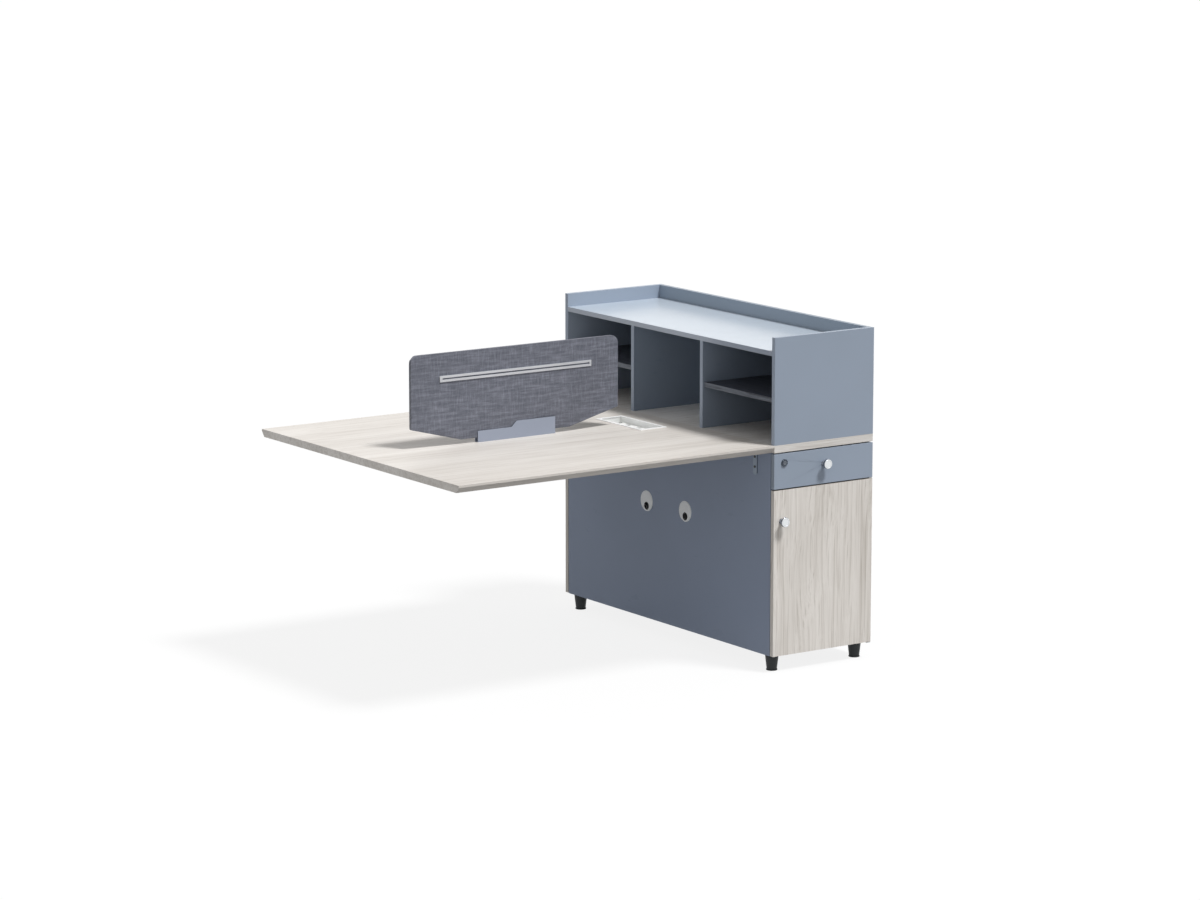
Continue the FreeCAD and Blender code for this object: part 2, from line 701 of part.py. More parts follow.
def lock(end, side):
    """A cam lock: a barrel in the drawer front, a turning plug and a cam that rises behind its strike."""
    spot = {"x": "lock_x", "z": "lock_height"}
    ring = rod(f"{end}_lock_ring", "lock_ring_radius", "Y",
               y=towards(side, "half_width", "half_width + lock_ring_thickness"), **spot)
    barrel_span = towards(side, "lock_tail", "half_width + lock_ring_thickness")
    barrel = rod(f"{end}_lock_barrel", "lock_barrel_radius", "Y", y=barrel_span, **spot)
    bore = rod(f"{end}_lock_bore", "lock_plug_radius + lock_plug_play", "Y", y=barrel_span, **spot)
    case = joined(f"{end}_lock_case", [ring, barrel])
    node(less(f"{end}_lock_body", case, [bore]), f"{end}_lock_body")
    core = rod(f"{end}_plug_core", "lock_plug_radius", "Y",
               y=towards(side, "cam_face", "half_width + lock_ring_thickness"), **spot)
    slot = board(f"{end}_key_slot", ("lock_x - key_slot_length / 2", "lock_x + key_slot_length / 2"),
                 towards(side, "half_width + lock_ring_thickness - key_slot_depth",
                         "half_width + lock_ring_thickness"),
                 ("lock_height - key_slot_width / 2", "lock_height + key_slot_width / 2"))
    cam = board(f"{end}_cam", ("lock_x - cam_width / 2", "lock_x + cam_reach"),
                towards(side, "cam_face - cam_thickness", "cam_face"),
                ("lock_height - cam_width / 2", "lock_height + cam_width / 2"))
    plug = joined(f"{end}_plug_with_cam", [core, cam])
    node(less(f"{end}_lock_plug", plug, [slot]), f"{end}_lock_plug")


def lock_strike(end, side):
    """A small steel angle under the cabinet board that the raised cam catches."""
    span = ("lock_x - strike_width / 2", "lock_x + strike_width / 2")
    upright = board(f"{end}_strike_upright", span,
                    towards(side, "strike_end", "strike_end + strike_thickness"),
                    ("board_under - strike_drop", "board_under"))
    flange = board(f"{end}_strike_flange", span,
                   towards(side, "strike_end + strike_thickness - strike_flange", "strike_end"),
                   ("board_under - strike_thickness", "board_under"))
    return joined(f"{end}_strike", [upright, flange])


def hinge_leaves(end, side):
    """The upper and lower angle leaves of a door, each with a pin into the door's edge."""
    leaves = []
    for row, low, pin, flange in (
        ("upper", "upper_leaf_bottom", ("door_top - pin_length", "upper_leaf_bottom"),
         ("upper_leaf_bottom + leaf_thickness - leaf_flange_height", "upper_leaf_bottom + leaf_thickness")),
        ("lower", "lower_leaf_bottom", ("lower_leaf_bottom + leaf_thickness", "door_bottom + pin_length"),
         ("lower_leaf_bottom", "lower_leaf_bottom + leaf_flange_height")),
    ):
        width = ("leaf_left_x", "leaf_right_x")
        tongue = board(f"{end}_{row}_leaf_tongue", width, towards(side, "carcass_end", "leaf_outer_end"),
                       (low, f"{low} + leaf_thickness"))
        back = board(f"{end}_{row}_leaf_flange", width,
                     towards(side, "carcass_end", "leaf_flange_end"), flange)
        bar = rod(f"{end}_{row}_hinge_pin", "pin_radius", "Z", "pin_x", f"{side} * pin_end", pin)
        leaves.append(joined(f"{end}_{row}_leaf", [tongue, back, bar]))
    return leaves


def door(end, side, screw_hole):
    """A full-overlay door with a hole for each hinge pin."""
    blank = board(f"{end}_door_blank", ("face_x", "rear_x"), towards(side, "front_back", "half_width"),
                  ("door_bottom", "door_top"))
    holes = [
        rod(f"{end}_{row}_pin_hole", "pin_radius + pin_play", "Z", "pin_x", f"{side} * pin_end", span)
        for row, span in (("upper", ("door_top - pin_length - pin_play", "door_top")),
                          ("lower", ("door_bottom", "door_bottom + pin_length + pin_play")))
    ]
    node(less(f"{end}_door", blank, holes + [screw_hole]), f"{end}_door")


def cabinet_ends():
    """Drawer, lock, door and hinges at both ends of the cabinet."""
    outers, leaves, strikes = [], [], []
    for end, side in ENDS:
        outers += drawer_runners(end, side)
        leaves += hinge_leaves(end, side)
        strikes.append(lock_strike(end, side))
        lock(end, side)
        knob(f"{end}_drawer_knob", side, "carcass_middle_x", "drawer_knob_height")
        shank = knob_screw(f"{end}_drawer_knob_screw", side, "carcass_middle_x", "drawer_knob_height",
                           "front_back - drawer_wall")
        drawer_box(end, side, shank)
        blank = board(f"{end}_drawer_front_blank", ("face_x", "rear_x"),
                      towards(side, "front_back", "half_width"), ("drawer_front_bottom", "drawer_front_top"))
        lock_hole = rod(f"{end}_lock_hole", "lock_barrel_radius", "Y", "lock_x",
                        towards(side, "front_back", "half_width"), "lock_height")
        node(less(f"{end}_drawer_front", blank, [lock_hole, shank]), f"{end}_drawer_front")
        knob(f"{end}_door_knob", side, "door_knob_x", "door_knob_height")
        shank = knob_screw(f"{end}_door_knob_screw", side, "door_knob_x", "door_knob_height", "front_back")
        door(end, side, shank)
    node(group("runner_outers", outers), "runner_outers")
    node(group("hinge_leaves", leaves), "hinge_leaves")
    node(group("lock_strikes", strikes), "lock_strikes")


def hutch(pins):
    """The open pigeonhole case on the cabinet, with a rim round the back and both ends."""
    rise = ("worktop_height", "hutch_top_height")
    bay = ("worktop_height", "hutch_ceiling")
    between = ("-hutch_end", "hutch_end")
    for end, side in ENDS:
        blank = board(f"{end}_hutch_side_blank", ("face_x", "rear_x"),
                      towards(side, "hutch_end", "half_width"), rise)
        node(less(f"{end}_hutch_side", blank, pins["hutch"]), f"{end}_hutch_side")
        wall = towards(side, "hutch_partition_inner", "hutch_partition_outer")
        blank = board(f"{end}_hutch_partition_blank", ("face_x", "inner_rear_x"), wall, bay)
        node(less(f"{end}_hutch_partition", blank, pins["hutch"]), f"{end}_hutch_partition")
        room = towards(side, "hutch_partition_outer + shelf_play", "hutch_end - shelf_play")
        node(board(f"{end}_hutch_shelf", ("hutch_shelf_front_x", "inner_rear_x - shelf_play"), room,
                   ("hutch_shelf_bottom", "hutch_shelf_bottom + panel_thickness")), f"{end}_hutch_shelf")
    node(board("hutch_back", ("inner_rear_x", "rear_x"), between, rise), "hutch_back")
    node(board("hutch_top", ("face_x", "inner_rear_x"), between,
               ("hutch_ceiling", "hutch_ceiling + panel_thickness")), "hutch_top")


def desk_board(screws):
    """The desk board, bevelled under both user edges, with its socket cut-out and leg inserts."""
    edge = "half_width - edge_undercut"
    profile = [
        (f"-({edge})", "0"), (edge, "0"), ("half_width", "worktop_thickness - edge_face"),
        ("half_width", "worktop_thickness"), ("-half_width", "worktop_thickness"),
        ("-half_width", "worktop_thickness - edge_face"),
    ]
    blank = padded("desk_board_blank", "YZ_Plane", profile, "desk_length")
    place(blank, "desk_middle_x", "0", "board_under")
    opening = board("socket_cut_out",
                    ("tray_left_x - socket_cut_play", "tray_right_x + socket_cut_play"),
                    ("-(tray_end + socket_cut_play)", "tray_end + socket_cut_play"),
                    ("board_under", "worktop_height"))
    inserts, holes = [], []
    for end, side in ENDS:
        for spot, x in (("outer", "insert_first_x"), ("inner", "insert_second_x")):
            y = f"{side} * insert_span / 2"
            span = ("board_under", "board_under + insert_length")
            case = rod(f"{end}_{spot}_insert_case", "insert_radius", "Z", x, y, span)
            bore = rod(f"{end}_{spot}_insert_bore", "insert_bore_radius", "Z", x, y, span)
            inserts.append(less(f"{end}_{spot}_insert", case, [bore]))
            holes.append(case)
    node(group("leg_inserts", inserts), "leg_inserts")
    node(less("desk_top", blank, [opening] + holes + screws["desk"]), "desk_top")
    node(board("cabinet_top_board", ("face_x", "rear_x"), ("-half_width", "half_width"),
               ("board_under", "worktop_height")), "cabinet_top_board")


def desk_brackets(screws):
    """Steel angles with round-ended legs between the desk board and the front panel."""
    profile = [
        ("0", "0"), ("-bracket_leg", "0"), ("-bracket_leg", "-bracket_steel"),
        ("-bracket_steel", "-bracket_steel"), ("-bracket_steel", "-bracket_leg"), ("0", "-bracket_leg"),
    ]
    brackets = []
    for spot, y in (("near", "-bracket_end"), ("middle", "0"), ("far", "bracket_end")):
        body = padded(f"{spot}_bracket", "XZ_Plane", profile, "bracket_width")
        rounded(body, "bracket_width * bracket_tip_share", tip_corner)
        place(body, "face_x", y, "board_under")
        brackets.append(less(f"{spot}_drilled_bracket", body, screws["panel"] + screws["desk"]))
    node(group("desk_brackets", brackets), "desk_brackets")


def tip_corner(edge):
    """Whether an edge of a bracket is one of the short corners at the tip of a leg."""
    at_leg_end = near_to(-edge.BoundBox.XMax, "bracket_leg") or near_to(-edge.BoundBox.ZMax, "bracket_leg")
    return at_leg_end and near_to(edge.Length, "bracket_steel")


def socket_box():
    """A rectangular rim, the tray that hangs in the cut-out and the outlet block in it."""
    rim = board("socket_rim", ("socket_left_x", "socket_right_x"), ("-socket_end", "socket_end"),
                ("worktop_height", "worktop_height + socket_rim_thickness"))
    mouth = board("socket_mouth", ("socket_left_x + socket_rim", "socket_right_x - socket_rim"),
                  ("-(socket_end - socket_rim)", "socket_end - socket_rim"),
                  ("worktop_height", "worktop_height + socket_rim_thickness"))
    node(less("socket_frame", rim, [mouth]), "socket_frame")
    shell = board("tray_shell", ("tray_left_x", "tray_right_x"), ("-tray_end", "tray_end"),
                  ("tray_bottom", "worktop_height"))
    inside = board("tray_inside", ("tray_left_x + tray_wall", "tray_right_x - tray_wall"),
                   ("-(tray_end - tray_wall)", "tray_end - tray_wall"),
                   ("tray_bottom + tray_wall", "worktop_height"))
    node(less("socket_tray", shell, [inside]), "socket_tray")
    block = board("outlet_blank", ("outlet_left_x", "tray_right_x - tray_wall"),
                  ("-outlet_length / 2", "outlet_length / 2"), ("tray_bottom + tray_wall", "outlet_top"))
    recesses = [
        rod(f"{spot}_outlet_recess", "outlet_recess_radius", "Z", "outlet_left_x + outlet_width / 2",
            y, ("outlet_top - outlet_recess_depth", "outlet_top"))
        for spot, y in (("near", "-outlet_pitch"), ("middle", "0"), ("far", "outlet_pitch"))
    ]
    node(less("socket_outlets", block, recesses), "socket_outlets")


def screen():
    """The fabric screen with a slotted rail let into each face."""
    half = "screen_length / 2"
    profile = [
        ("-screen_half_flat", "0"), ("screen_half_flat", "0"), (half, "screen_corner_rise"),
        (half, "screen_height"), (f"-{half}", "screen_height"), (f"-{half}", "screen_corner_rise"),
    ]
    blank = padded("screen_blank", "XZ_Plane", profile, "screen_thickness")
    rounded(blank, "screen_rounding", lambda edge: near_to(edge.BoundBox.ZMin, "screen_height")
            and near_to(edge.Length, "screen_thickness"))
    place(blank, "screen_x", "0", "screen_bottom")
    span = ("screen_x - rail_length / 2", "screen_x + rail_length / 2")
    run = ("screen_x - rail_length / 2 + rail_slot_inset",
           "screen_x + rail_length / 2 - rail_slot_inset")
    rails, beds = [], []
    for end, side in ENDS:
        bar = board(f"{end}_rail_bar", span, towards(side, "rail_seat", "rail_face"),
                    ("rail_bottom", "rail_top"))
        slot = board(f"{end}_rail_slot", run, towards(side, "rail_face - rail_slot_depth", "rail_face"),
                     ("rail_middle - rail_slot / 2", "rail_middle + rail_slot / 2"))
        entry = rod(f"{end}_rail_entry", "rail_entry_radius", "Y", run[1],
                    towards(side, "rail_face - rail_slot_depth", "rail_face"), "rail_middle")
        rails.append(less(f"{end}_rail", bar, [slot, entry]))
        beds.append(board(f"{end}_rail_bed", span, towards(side, "rail_seat", "screen_face"),
                          ("rail_bottom", "rail_top")))
    node(less("screen_panel", blank, beds), "screen_panel")
    node(group("screen_rails", rails), "screen_rails")


def screen_clamp(screws):
    """A stepped steel channel on the desk that grips the screen between two rubber pads."""
    profile = [
        ("-clamp_half", "0"), ("clamp_half", "0"), ("clamp_half", "clamp_high"), ("0", "clamp_high"),
        ("-clamp_step_run", "clamp_low"), ("-clamp_half", "clamp_low"),
    ]
    blank = padded("clamp_blank", "XZ_Plane", profile, "clamp_width")
    place(blank, "screen_x", "0", "worktop_height")
    whole = ("screen_x - clamp_half", "screen_x + clamp_half")
    gap = board("clamp_gap", whole, ("-clamp_gap_end", "clamp_gap_end"),
                ("clamp_floor", "worktop_height + clamp_high"))
    node(less("screen_clamp", blank, [gap] + screws["desk"]), "screen_clamp")
    pads = [
        board(f"{end}_clamp_pad",
              ("screen_x - clamp_half + clamp_pad_inset", "screen_x + clamp_half - clamp_pad_inset"),
              towards(side, "screen_face", "clamp_gap_end"),
              ("screen_bottom", "worktop_height + clamp_low - clamp_pad_drop"))
        for end, side in ENDS
    ]
    node(group("clamp_pads", pads), "clamp_pads")


def check_model():
    """Stop if any object failed or any piece has a faulty shape."""
    document.recompute()
    failed = [item.Name for item in document.Objects if {"Invalid", "Error"} & set(item.State)]
    faulty = [item.Label for item in nodes if item.Shape.isNull() or not item.Shape.isValid()]
    if failed or faulty:
        raise RuntimeError(f"failed objects {failed}, faulty pieces {faulty}")


def write_pieces():
    """Write each named piece to its own file."""
    os.makedirs("parts", exist_ok=True)
    for item in nodes:
        item.Shape.exportStep(os.path.join("parts", f"{item.Label}.step"))
    print(f"{len(nodes)} pieces written")


fill_sheet()
PINS = shelf_pins()
SCREWS = fixing_screws()
STUDS = cabinet_feet()
HOLES = grommets()
cabinet_carcass(PINS, SCREWS, STUDS, HOLES)
counterweight(SCREWS)
cabinet_ends()
hutch(PINS)
desk_board(SCREWS)
desk_brackets(SCREWS)
socket_box()
screen()
screen_clamp(SCREWS)
check_model()
write_pieces()
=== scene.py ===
"""Looks of the cubicle workstation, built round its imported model.

Metres, in the model's own frame: X runs from the free end of the desk to the back of
the cabinet, Y from the near user to the far one, and Z up from the floor.
"""

import logging
import math
from collections.abc import Callable, Sequence
from dataclasses import dataclass, replace
from enum import Enum
from typing import Any

import bmesh
import bpy
from mathutils import Matrix, Vector


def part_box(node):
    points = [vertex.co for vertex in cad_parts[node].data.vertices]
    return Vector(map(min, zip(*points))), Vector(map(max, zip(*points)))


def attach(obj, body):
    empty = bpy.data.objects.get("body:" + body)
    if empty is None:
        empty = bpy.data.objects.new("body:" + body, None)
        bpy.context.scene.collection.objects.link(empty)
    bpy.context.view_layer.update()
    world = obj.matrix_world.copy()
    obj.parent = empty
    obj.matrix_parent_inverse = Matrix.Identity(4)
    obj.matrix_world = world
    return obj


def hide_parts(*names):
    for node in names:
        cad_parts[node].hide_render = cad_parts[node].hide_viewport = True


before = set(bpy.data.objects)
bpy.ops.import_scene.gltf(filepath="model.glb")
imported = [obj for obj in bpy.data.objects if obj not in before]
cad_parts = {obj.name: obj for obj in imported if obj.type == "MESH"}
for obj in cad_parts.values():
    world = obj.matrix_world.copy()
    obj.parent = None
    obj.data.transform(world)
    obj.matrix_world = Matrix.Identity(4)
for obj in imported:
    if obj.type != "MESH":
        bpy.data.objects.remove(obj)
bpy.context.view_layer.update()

LOG = logging.getLogger("workstation")
WELD_REACH = 1e-5  # points of a node closer than this are one
EASED_FROM = 38.0  # edges of a node that turn by more degrees than this are eased
SMOOTH_BELOW = 32.0  # edges of a new piece that turn by fewer degrees than this look smooth
EASING_STEPS = 2  # faces across an eased edge
# How wide the edges of the smaller pieces are eased.
SCREW_EDGE, STEEL_EDGE, BENT_EDGE, BOX_EDGE = 0.0002, 0.0003, 0.0004, 0.0005
CLAMP_EDGE, LOCK_EDGE, PLATE_EDGE = 0.0006, 0.0007, 0.0008
THREAD_PITCH = 0.0011  # from one thread of the cloth to the next
Colour = tuple[float, float, float, float]
Corner = tuple[float, float, float]
Sockets = dict[str, Any]


class Direction(Enum):
    """The three directions of the model, each as a unit vector."""

    X = (1.0, 0.0, 0.0)
    Y = (0.0, 1.0, 0.0)
    Z = (0.0, 0.0, 1.0)

    @property
    def unit(self) -> Vector:
        """The direction as a vector."""
        return Vector(self.value)


class End(Enum):
    """The two ends of the cabinet, with the way each one faces along Y."""

    NEAR = -1
    FAR = 1

    @property
    def label(self) -> str:
        """The word that starts the names of this end's nodes and bodies."""
        return self.name.lower()


class SocketKind(Enum):
    """The kinds of socket that an effect can have."""

    VALUE = "NodeSocketFloat"
    VECTOR = "NodeSocketVector"
    COLOUR = "NodeSocketColor"


VALUE, VECTOR, COLOUR = SocketKind


def rgb(red: float, green: float, blue: float) -> Colour:
    """Turn a colour as a screen shows it into the linear colour of a shader.

    Args:
        red: from 0 to 255.
        green: from 0 to 255.
        blue: from 0 to 255.

    Returns:
        The linear colour, with full cover.
    """
    shares = [part / 255 for part in (red, green, blue)]
    linear = [s / 12.92 if s <= 0.04045 else ((s + 0.055) / 1.055) ** 2.4 for s in shares]
    return (linear[0], linear[1], linear[2], 1.0)


class Wiring:
    """Adds nodes to one shader tree and joins them."""

    def __init__(self, tree: bpy.types.NodeTree) -> None:
        """Keep the tree of the material, world or effect that the nodes go into."""
        self.tree = tree

    def fill(self, node: bpy.types.Node, sockets: dict[Any, Any]) -> bpy.types.Node:
        """Set or link a node's inputs.

        Args:
            node: the node.
            sockets: a value or a source socket for each input, by name or number.

        Returns:
            The same node.
        """
        for key, value in sockets.items():
            if isinstance(value, bpy.types.NodeSocket):
                self.tree.links.new(value, node.inputs[key])
            else:
                node.inputs[key].default_value = value
        return node

    def add(self, kind: str, sockets: dict[Any, Any] | None = None, **settings: Any) -> bpy.types.Node:
        """Add one node.

        Args:
            kind: the node's type, without its ShaderNode prefix.
            sockets: a value or a source socket for each input.
            **settings: the node's own properties.

        Returns:
            The new node.
        """
        node = self.tree.nodes.new(f"ShaderNode{kind}")
        for setting, value in settings.items():
            setattr(node, setting, value)
        return self.fill(node, sockets or {})

    def effect(self, tree: bpy.types.NodeTree, **sockets: Any) -> bpy.types.NodeInputs:
        """Place a shared effect and return its outputs.

        Args:
            tree: the effect.
            **sockets: a value or a source socket for each of its inputs.

        Returns:
            The outputs of the placed effect.
        """
        node = self.tree.nodes.new("ShaderNodeGroup")
        node.node_tree = tree
        return self.fill(node, sockets).outputs

    def calc(self, operation: str, *values: Any) -> Any:
        """Work out one number from up to three."""
        return self.add("Math", dict(enumerate(values)), operation=operation).outputs[0]

    def vector(self, operation: str, *values: Any) -> Any:
        """Work out one vector from others."""
        return self.add("VectorMath", dict(enumerate(values)), operation=operation).outputs[0]

    def split(self, vector: Any) -> tuple[Any, Any, Any]:
        """Take a vector apart into its three numbers."""
        made = self.add("SeparateXYZ", {0: vector})
        return made.outputs[0], made.outputs[1], made.outputs[2]

    def join(self, x: Any, y: Any, z: Any) -> Any:
        """Make a vector of three numbers."""
        return self.add("CombineXYZ", {0: x, 1: y, 2: z}).outputs[0]

    def mix(self, share: Any, first: Any, second: Any) -> Any:
        """Blend two colours by a share of the second."""
        return self.add("Mix", {0: share, 6: first, 7: second}, data_type="RGBA").outputs[2]

    def spread(self, value: Any, low: float, high: float, start: float = 0.0, finish: float = 1.0) -> Any:
        """Map a value smoothly, so that low gives the start and high gives the finish."""
        sockets = {0: value, 1: low, 2: high, 3: start, 4: finish}
        return self.add("MapRange", sockets, interpolation_type="SMOOTHSTEP").outputs[0]

    def noise(self, place: Any, pace: tuple[float, float, float], detail: float = 2.0,
              roughness: float = 0.5) -> Any:
        """Cloudy noise from 0 to 1, with so many features per metre on each axis."""
        sockets = {"Vector": self.vector("MULTIPLY", place, pace), "Scale": 1.0, "Detail": detail,
                   "Roughness": roughness}
        return self.add("TexNoise", sockets).outputs[0]

    def place(self) -> Any:
        """The point on the piece, in metres, that stays with the piece when it moves."""
        return self.add("TexCoord").outputs["Object"]

    def along(self, direction: Direction) -> Any:
        """The same point, with its axes in an order that starts with the given direction."""
        x, y, z = self.split(self.place())
        return self.join(*{"X": (x, y, z), "Y": (y, x, z), "Z": (z, x, y)}[direction.name])

    def facing(self) -> Any:
        """The way the piece's surface faces, in the piece's own directions."""
        return self.add("TexCoord").outputs["Normal"]


def effect(build: Callable[[Wiring, Sockets], Sockets], inputs: dict[str, SocketKind],
           outputs: dict[str, SocketKind]) -> bpy.types.NodeTree:
    """Make a shader effect that several materials can share.

    Args:
        build: adds the effect's nodes and returns what feeds its outputs. The effect has its name.
        inputs: its inputs by name.
        outputs: its outputs by name.

    Returns:
        The effect's node tree.
    """
    tree = bpy.data.node_groups.new(build.__name__, "ShaderNodeTree")
    for way, sockets in (("INPUT", inputs), ("OUTPUT", outputs)):
        for label, kind in sockets.items():
            tree.interface.new_socket(label, in_out=way, socket_type=kind.value)
    entry = tree.nodes.new("NodeGroupInput")
    leave = tree.nodes.new("NodeGroupOutput")
    made = build(Wiring(tree), {label: entry.outputs[label] for label in inputs})
    for label, socket in made.items():
        tree.links.new(socket, leave.inputs[label])
    return tree


def wood_grain(wiring: Wiring, given: Sockets) -> Sockets:
    """Printed wood decor, with its grain along the first axis of the given place.

    Args:
        wiring: the effect's wiring.
        given: its inputs.

    Returns:
        What feeds its outputs.
    """
    place, lined = given["Place"], given["Streaks"]
    sway = wiring.calc("SUBTRACT", wiring.noise(place, (1.4, 6.0, 6.0)), 0.5)
    drift = wiring.calc("MULTIPLY", sway, 0.085)
    bent = wiring.vector("ADD", place, wiring.join(0.0, drift, drift))
    bands = wiring.spread(wiring.noise(bent, (0.8, 9.0, 9.0)), 0.36, 0.66)
    flames = wiring.spread(wiring.noise(bent, (2.2, 85.0, 85.0), roughness=0.6), 0.4, 0.72)
    streaks = wiring.spread(wiring.noise(bent, (1.5, 210.0, 210.0), roughness=0.55), 0.52, 0.72)
    fibres = wiring.noise(bent, (9.0, 620.0, 620.0), roughness=0.6)
    pits = wiring.spread(wiring.noise(bent, (26.0, 1100.0, 1100.0), 1.0), 0.6, 0.75)
    broad = wiring.calc("MULTIPLY_ADD", bands, 0.25, wiring.calc("MULTIPLY", flames, 0.27))
    fine = wiring.calc("MULTIPLY_ADD", wiring.spread(fibres, 0.42, 0.72), 0.18,
                       wiring.calc("MULTIPLY", pits, 0.1))
    lines = wiring.calc("MULTIPLY_ADD", streaks, 0.42, fine)
    shade = wiring.calc("MULTIPLY_ADD", lines, lined, broad)
    colour = wiring.mix(shade, given["Pale"], given["Dark"])
    height = wiring.calc("SUBTRACT", wiring.calc("MULTIPLY", fibres, 0.5), pits)
    return {"Color": colour, "Shade": shade, "Height": height}


WOOD_GRAIN = effect(wood_grain, {"Place": VECTOR, "Pale": COLOUR, "Dark": COLOUR, "Streaks": VALUE},
                    {"Color": COLOUR, "Shade": VALUE, "Height": VALUE})


def surface_film(wiring: Wiring, given: Sockets) -> Sockets:
    """The faint clouds, handling marks and pearl texture of a pressed or sprayed surface.

    Args:
        wiring: the effect's wiring.
        given: its inputs.

    Returns:
        What feeds its outputs.
    """
    place = given["Place"]
    clouds = wiring.noise(place, (2.4, 2.4, 2.4), 3.0)
    rubs = wiring.spread(wiring.noise(place, (9.0, 9.0, 34.0), 4.0, 0.65), 0.5, 0.75)
    grit = wiring.noise(place, (620.0, 620.0, 620.0))
    pearl = wiring.noise(place, (1700.0, 1700.0, 1700.0), 1.0)
    mottle = wiring.calc("MULTIPLY_ADD", grit, 0.35, wiring.calc("MULTIPLY", clouds, 0.65))
    height = wiring.calc("MULTIPLY_ADD", pearl, 0.7, wiring.calc("MULTIPLY", grit, 0.3))
    return {"Mottle": wiring.spread(mottle, 0.3, 0.7), "Rubs": rubs, "Height": height}


SURFACE_FILM = effect(surface_film, {"Place": VECTOR}, {"Mottle": VALUE, "Rubs": VALUE, "Height": VALUE})


def linen_weave(wiring: Wiring, given: Sockets) -> Sockets:
    """Plain weave of uneven yarn across X and up Z, with thick slubs both ways.

    Args:
        wiring: the effect's wiring.
        given: its inputs.

    Returns:
        What feeds its outputs.
    """
    x, y, z = wiring.split(given["Place"])
    across = wiring.calc("ADD", x, y)
    flat = wiring.join(across, 0.0, wiring.calc("ADD", z, y))
    weft = wiring.noise(flat, (13.0, 1.0, 115.0), 3.0, 0.6)
    warp = wiring.noise(flat, (190.0, 1.0, 21.0), 3.0, 0.6)
    weft_yarn = wiring.noise(flat, (75.0, 1.0, 850.0))
    warp_yarn = wiring.noise(flat, (850.0, 1.0, 75.0))
    ribs = [wiring.calc("SINE", wiring.calc("MULTIPLY", part, math.pi / THREAD_PITCH))
            for part in (across, z)]
    crossing = wiring.calc("MULTIPLY", ribs[0], ribs[1])
    upright = wiring.spread(warp, 0.44, 0.7)
    slubs = wiring.calc("MULTIPLY_ADD", upright, 0.7, wiring.spread(weft, 0.36, 0.72))
    yarn = wiring.calc("ADD", wiring.spread(weft_yarn, 0.3, 0.7), wiring.spread(warp_yarn, 0.3, 0.7))
    tone = wiring.calc("MULTIPLY_ADD", slubs, 0.36, wiring.calc("MULTIPLY", yarn, 0.12))
    height = wiring.calc("MULTIPLY_ADD", crossing, 0.4, wiring.calc("MULTIPLY", slubs, 0.35))
    return {"Tone": tone, "Gaps": wiring.spread(crossing, -0.2, -1.0), "Height": height}


LINEN_WEAVE = effect(linen_weave, {"Place": VECTOR}, {"Tone": VALUE, "Gaps": VALUE, "Height": VALUE})


def brushing(wiring: Wiring, given: Sockets) -> Sockets:
    """Fine drawn lines along the first axis of the given place.

    Args:
        wiring: the effect's wiring.
        given: its inputs.

    Returns:
        What feeds its outputs.
    """
    lines = wiring.noise(given["Place"], (6.0, 2600.0, 2600.0), roughness=0.6)
    stains = wiring.noise(given["Place"], (11.0, 30.0, 30.0), 3.0)
    return {"Lines": lines, "Stains": wiring.spread(stains, 0.35, 0.7)}


BRUSHING = effect(brushing, {"Place": VECTOR}, {"Lines": VALUE, "Stains": VALUE})


def facing_tone(wiring: Wiring, given: Sockets) -> Sockets:
    """A second tone on the faces that look along one direction, mostly used to paint light or shade on
    them.

    Args:
        wiring: the effect's wiring.
        given: its inputs.

    Returns:
        What feeds its outputs.
    """
    share = wiring.spread(wiring.calc("ABSOLUTE", given["Turned"]), 0.75, 0.95)
    return {"Color": wiring.mix(share, given["Face"], given["Edge"])}


FACING_TONE = effect(facing_tone, {"Turned": VALUE, "Face": COLOUR, "Edge": COLOUR}, {"Color": COLOUR})


@dataclass(frozen=True)
class Finish:
    """A surface finish. It becomes one material when it is first used.

    Attributes:
        name: the material's name.
        slot: the record's material slot that it stands for; not used.
        roughness: how matt it is where nothing varies it.
        pale: its lighter tone.
        dark: its darker tone.
        metallic: 1 for bare metal.
        gloss: strength of its straight reflections.
        depth: how deep its relief is, in metres.
        edge_face: the direction that faces with a second tone look along, if there are any.
        edge: the tone of those faces, which on most finishes is painted light or painted shade.
    """

    name: str
    slot: str
    roughness: float
    pale: Colour
    dark: Colour
    metallic: float = 0.0
    gloss: float = 0.5
    depth: float = 0.00006
    edge_face: Direction | None = None
    edge: Colour = rgb(200, 200, 200)

    def pattern(self, wiring: Wiring) -> Sockets:
        """Add the finish's own nodes, and return its Face and Edge tones, its Height and the rest."""
        raise NotImplementedError

    def material(self) -> bpy.types.Material:
        """Make the finish's material, or find it when it has been made.

        Returns:
            The material.
        """
        name = f"{self.name}_finish"
        found = bpy.data.materials.get(name)
        if found:
            return found
        material = bpy.data.materials.new(name)
        material.use_nodes = True
        wiring = Wiring(material.node_tree)
        shader = material.node_tree.nodes["Principled BSDF"]
        plain = {"Roughness": self.roughness, "Metallic": self.metallic, "Specular IOR Level": self.gloss}
        wiring.fill(shader, plain)
        made = self.pattern(wiring)
        tone, edge, height = made.pop("Face"), made.pop("Edge"), made.pop("Height")
        if self.edge_face:
            turned = dict(zip(Direction, wiring.split(wiring.facing())))[self.edge_face]
            tone = wiring.effect(FACING_TONE, Turned=turned, Face=tone, Edge=edge)["Color"]
        bump = wiring.add("Bump", {"Strength": 1.0, "Distance": self.depth, "Height": height})
        wiring.fill(shader, {"Base Color": tone, "Normal": bump.outputs[0]} | made)
        return material


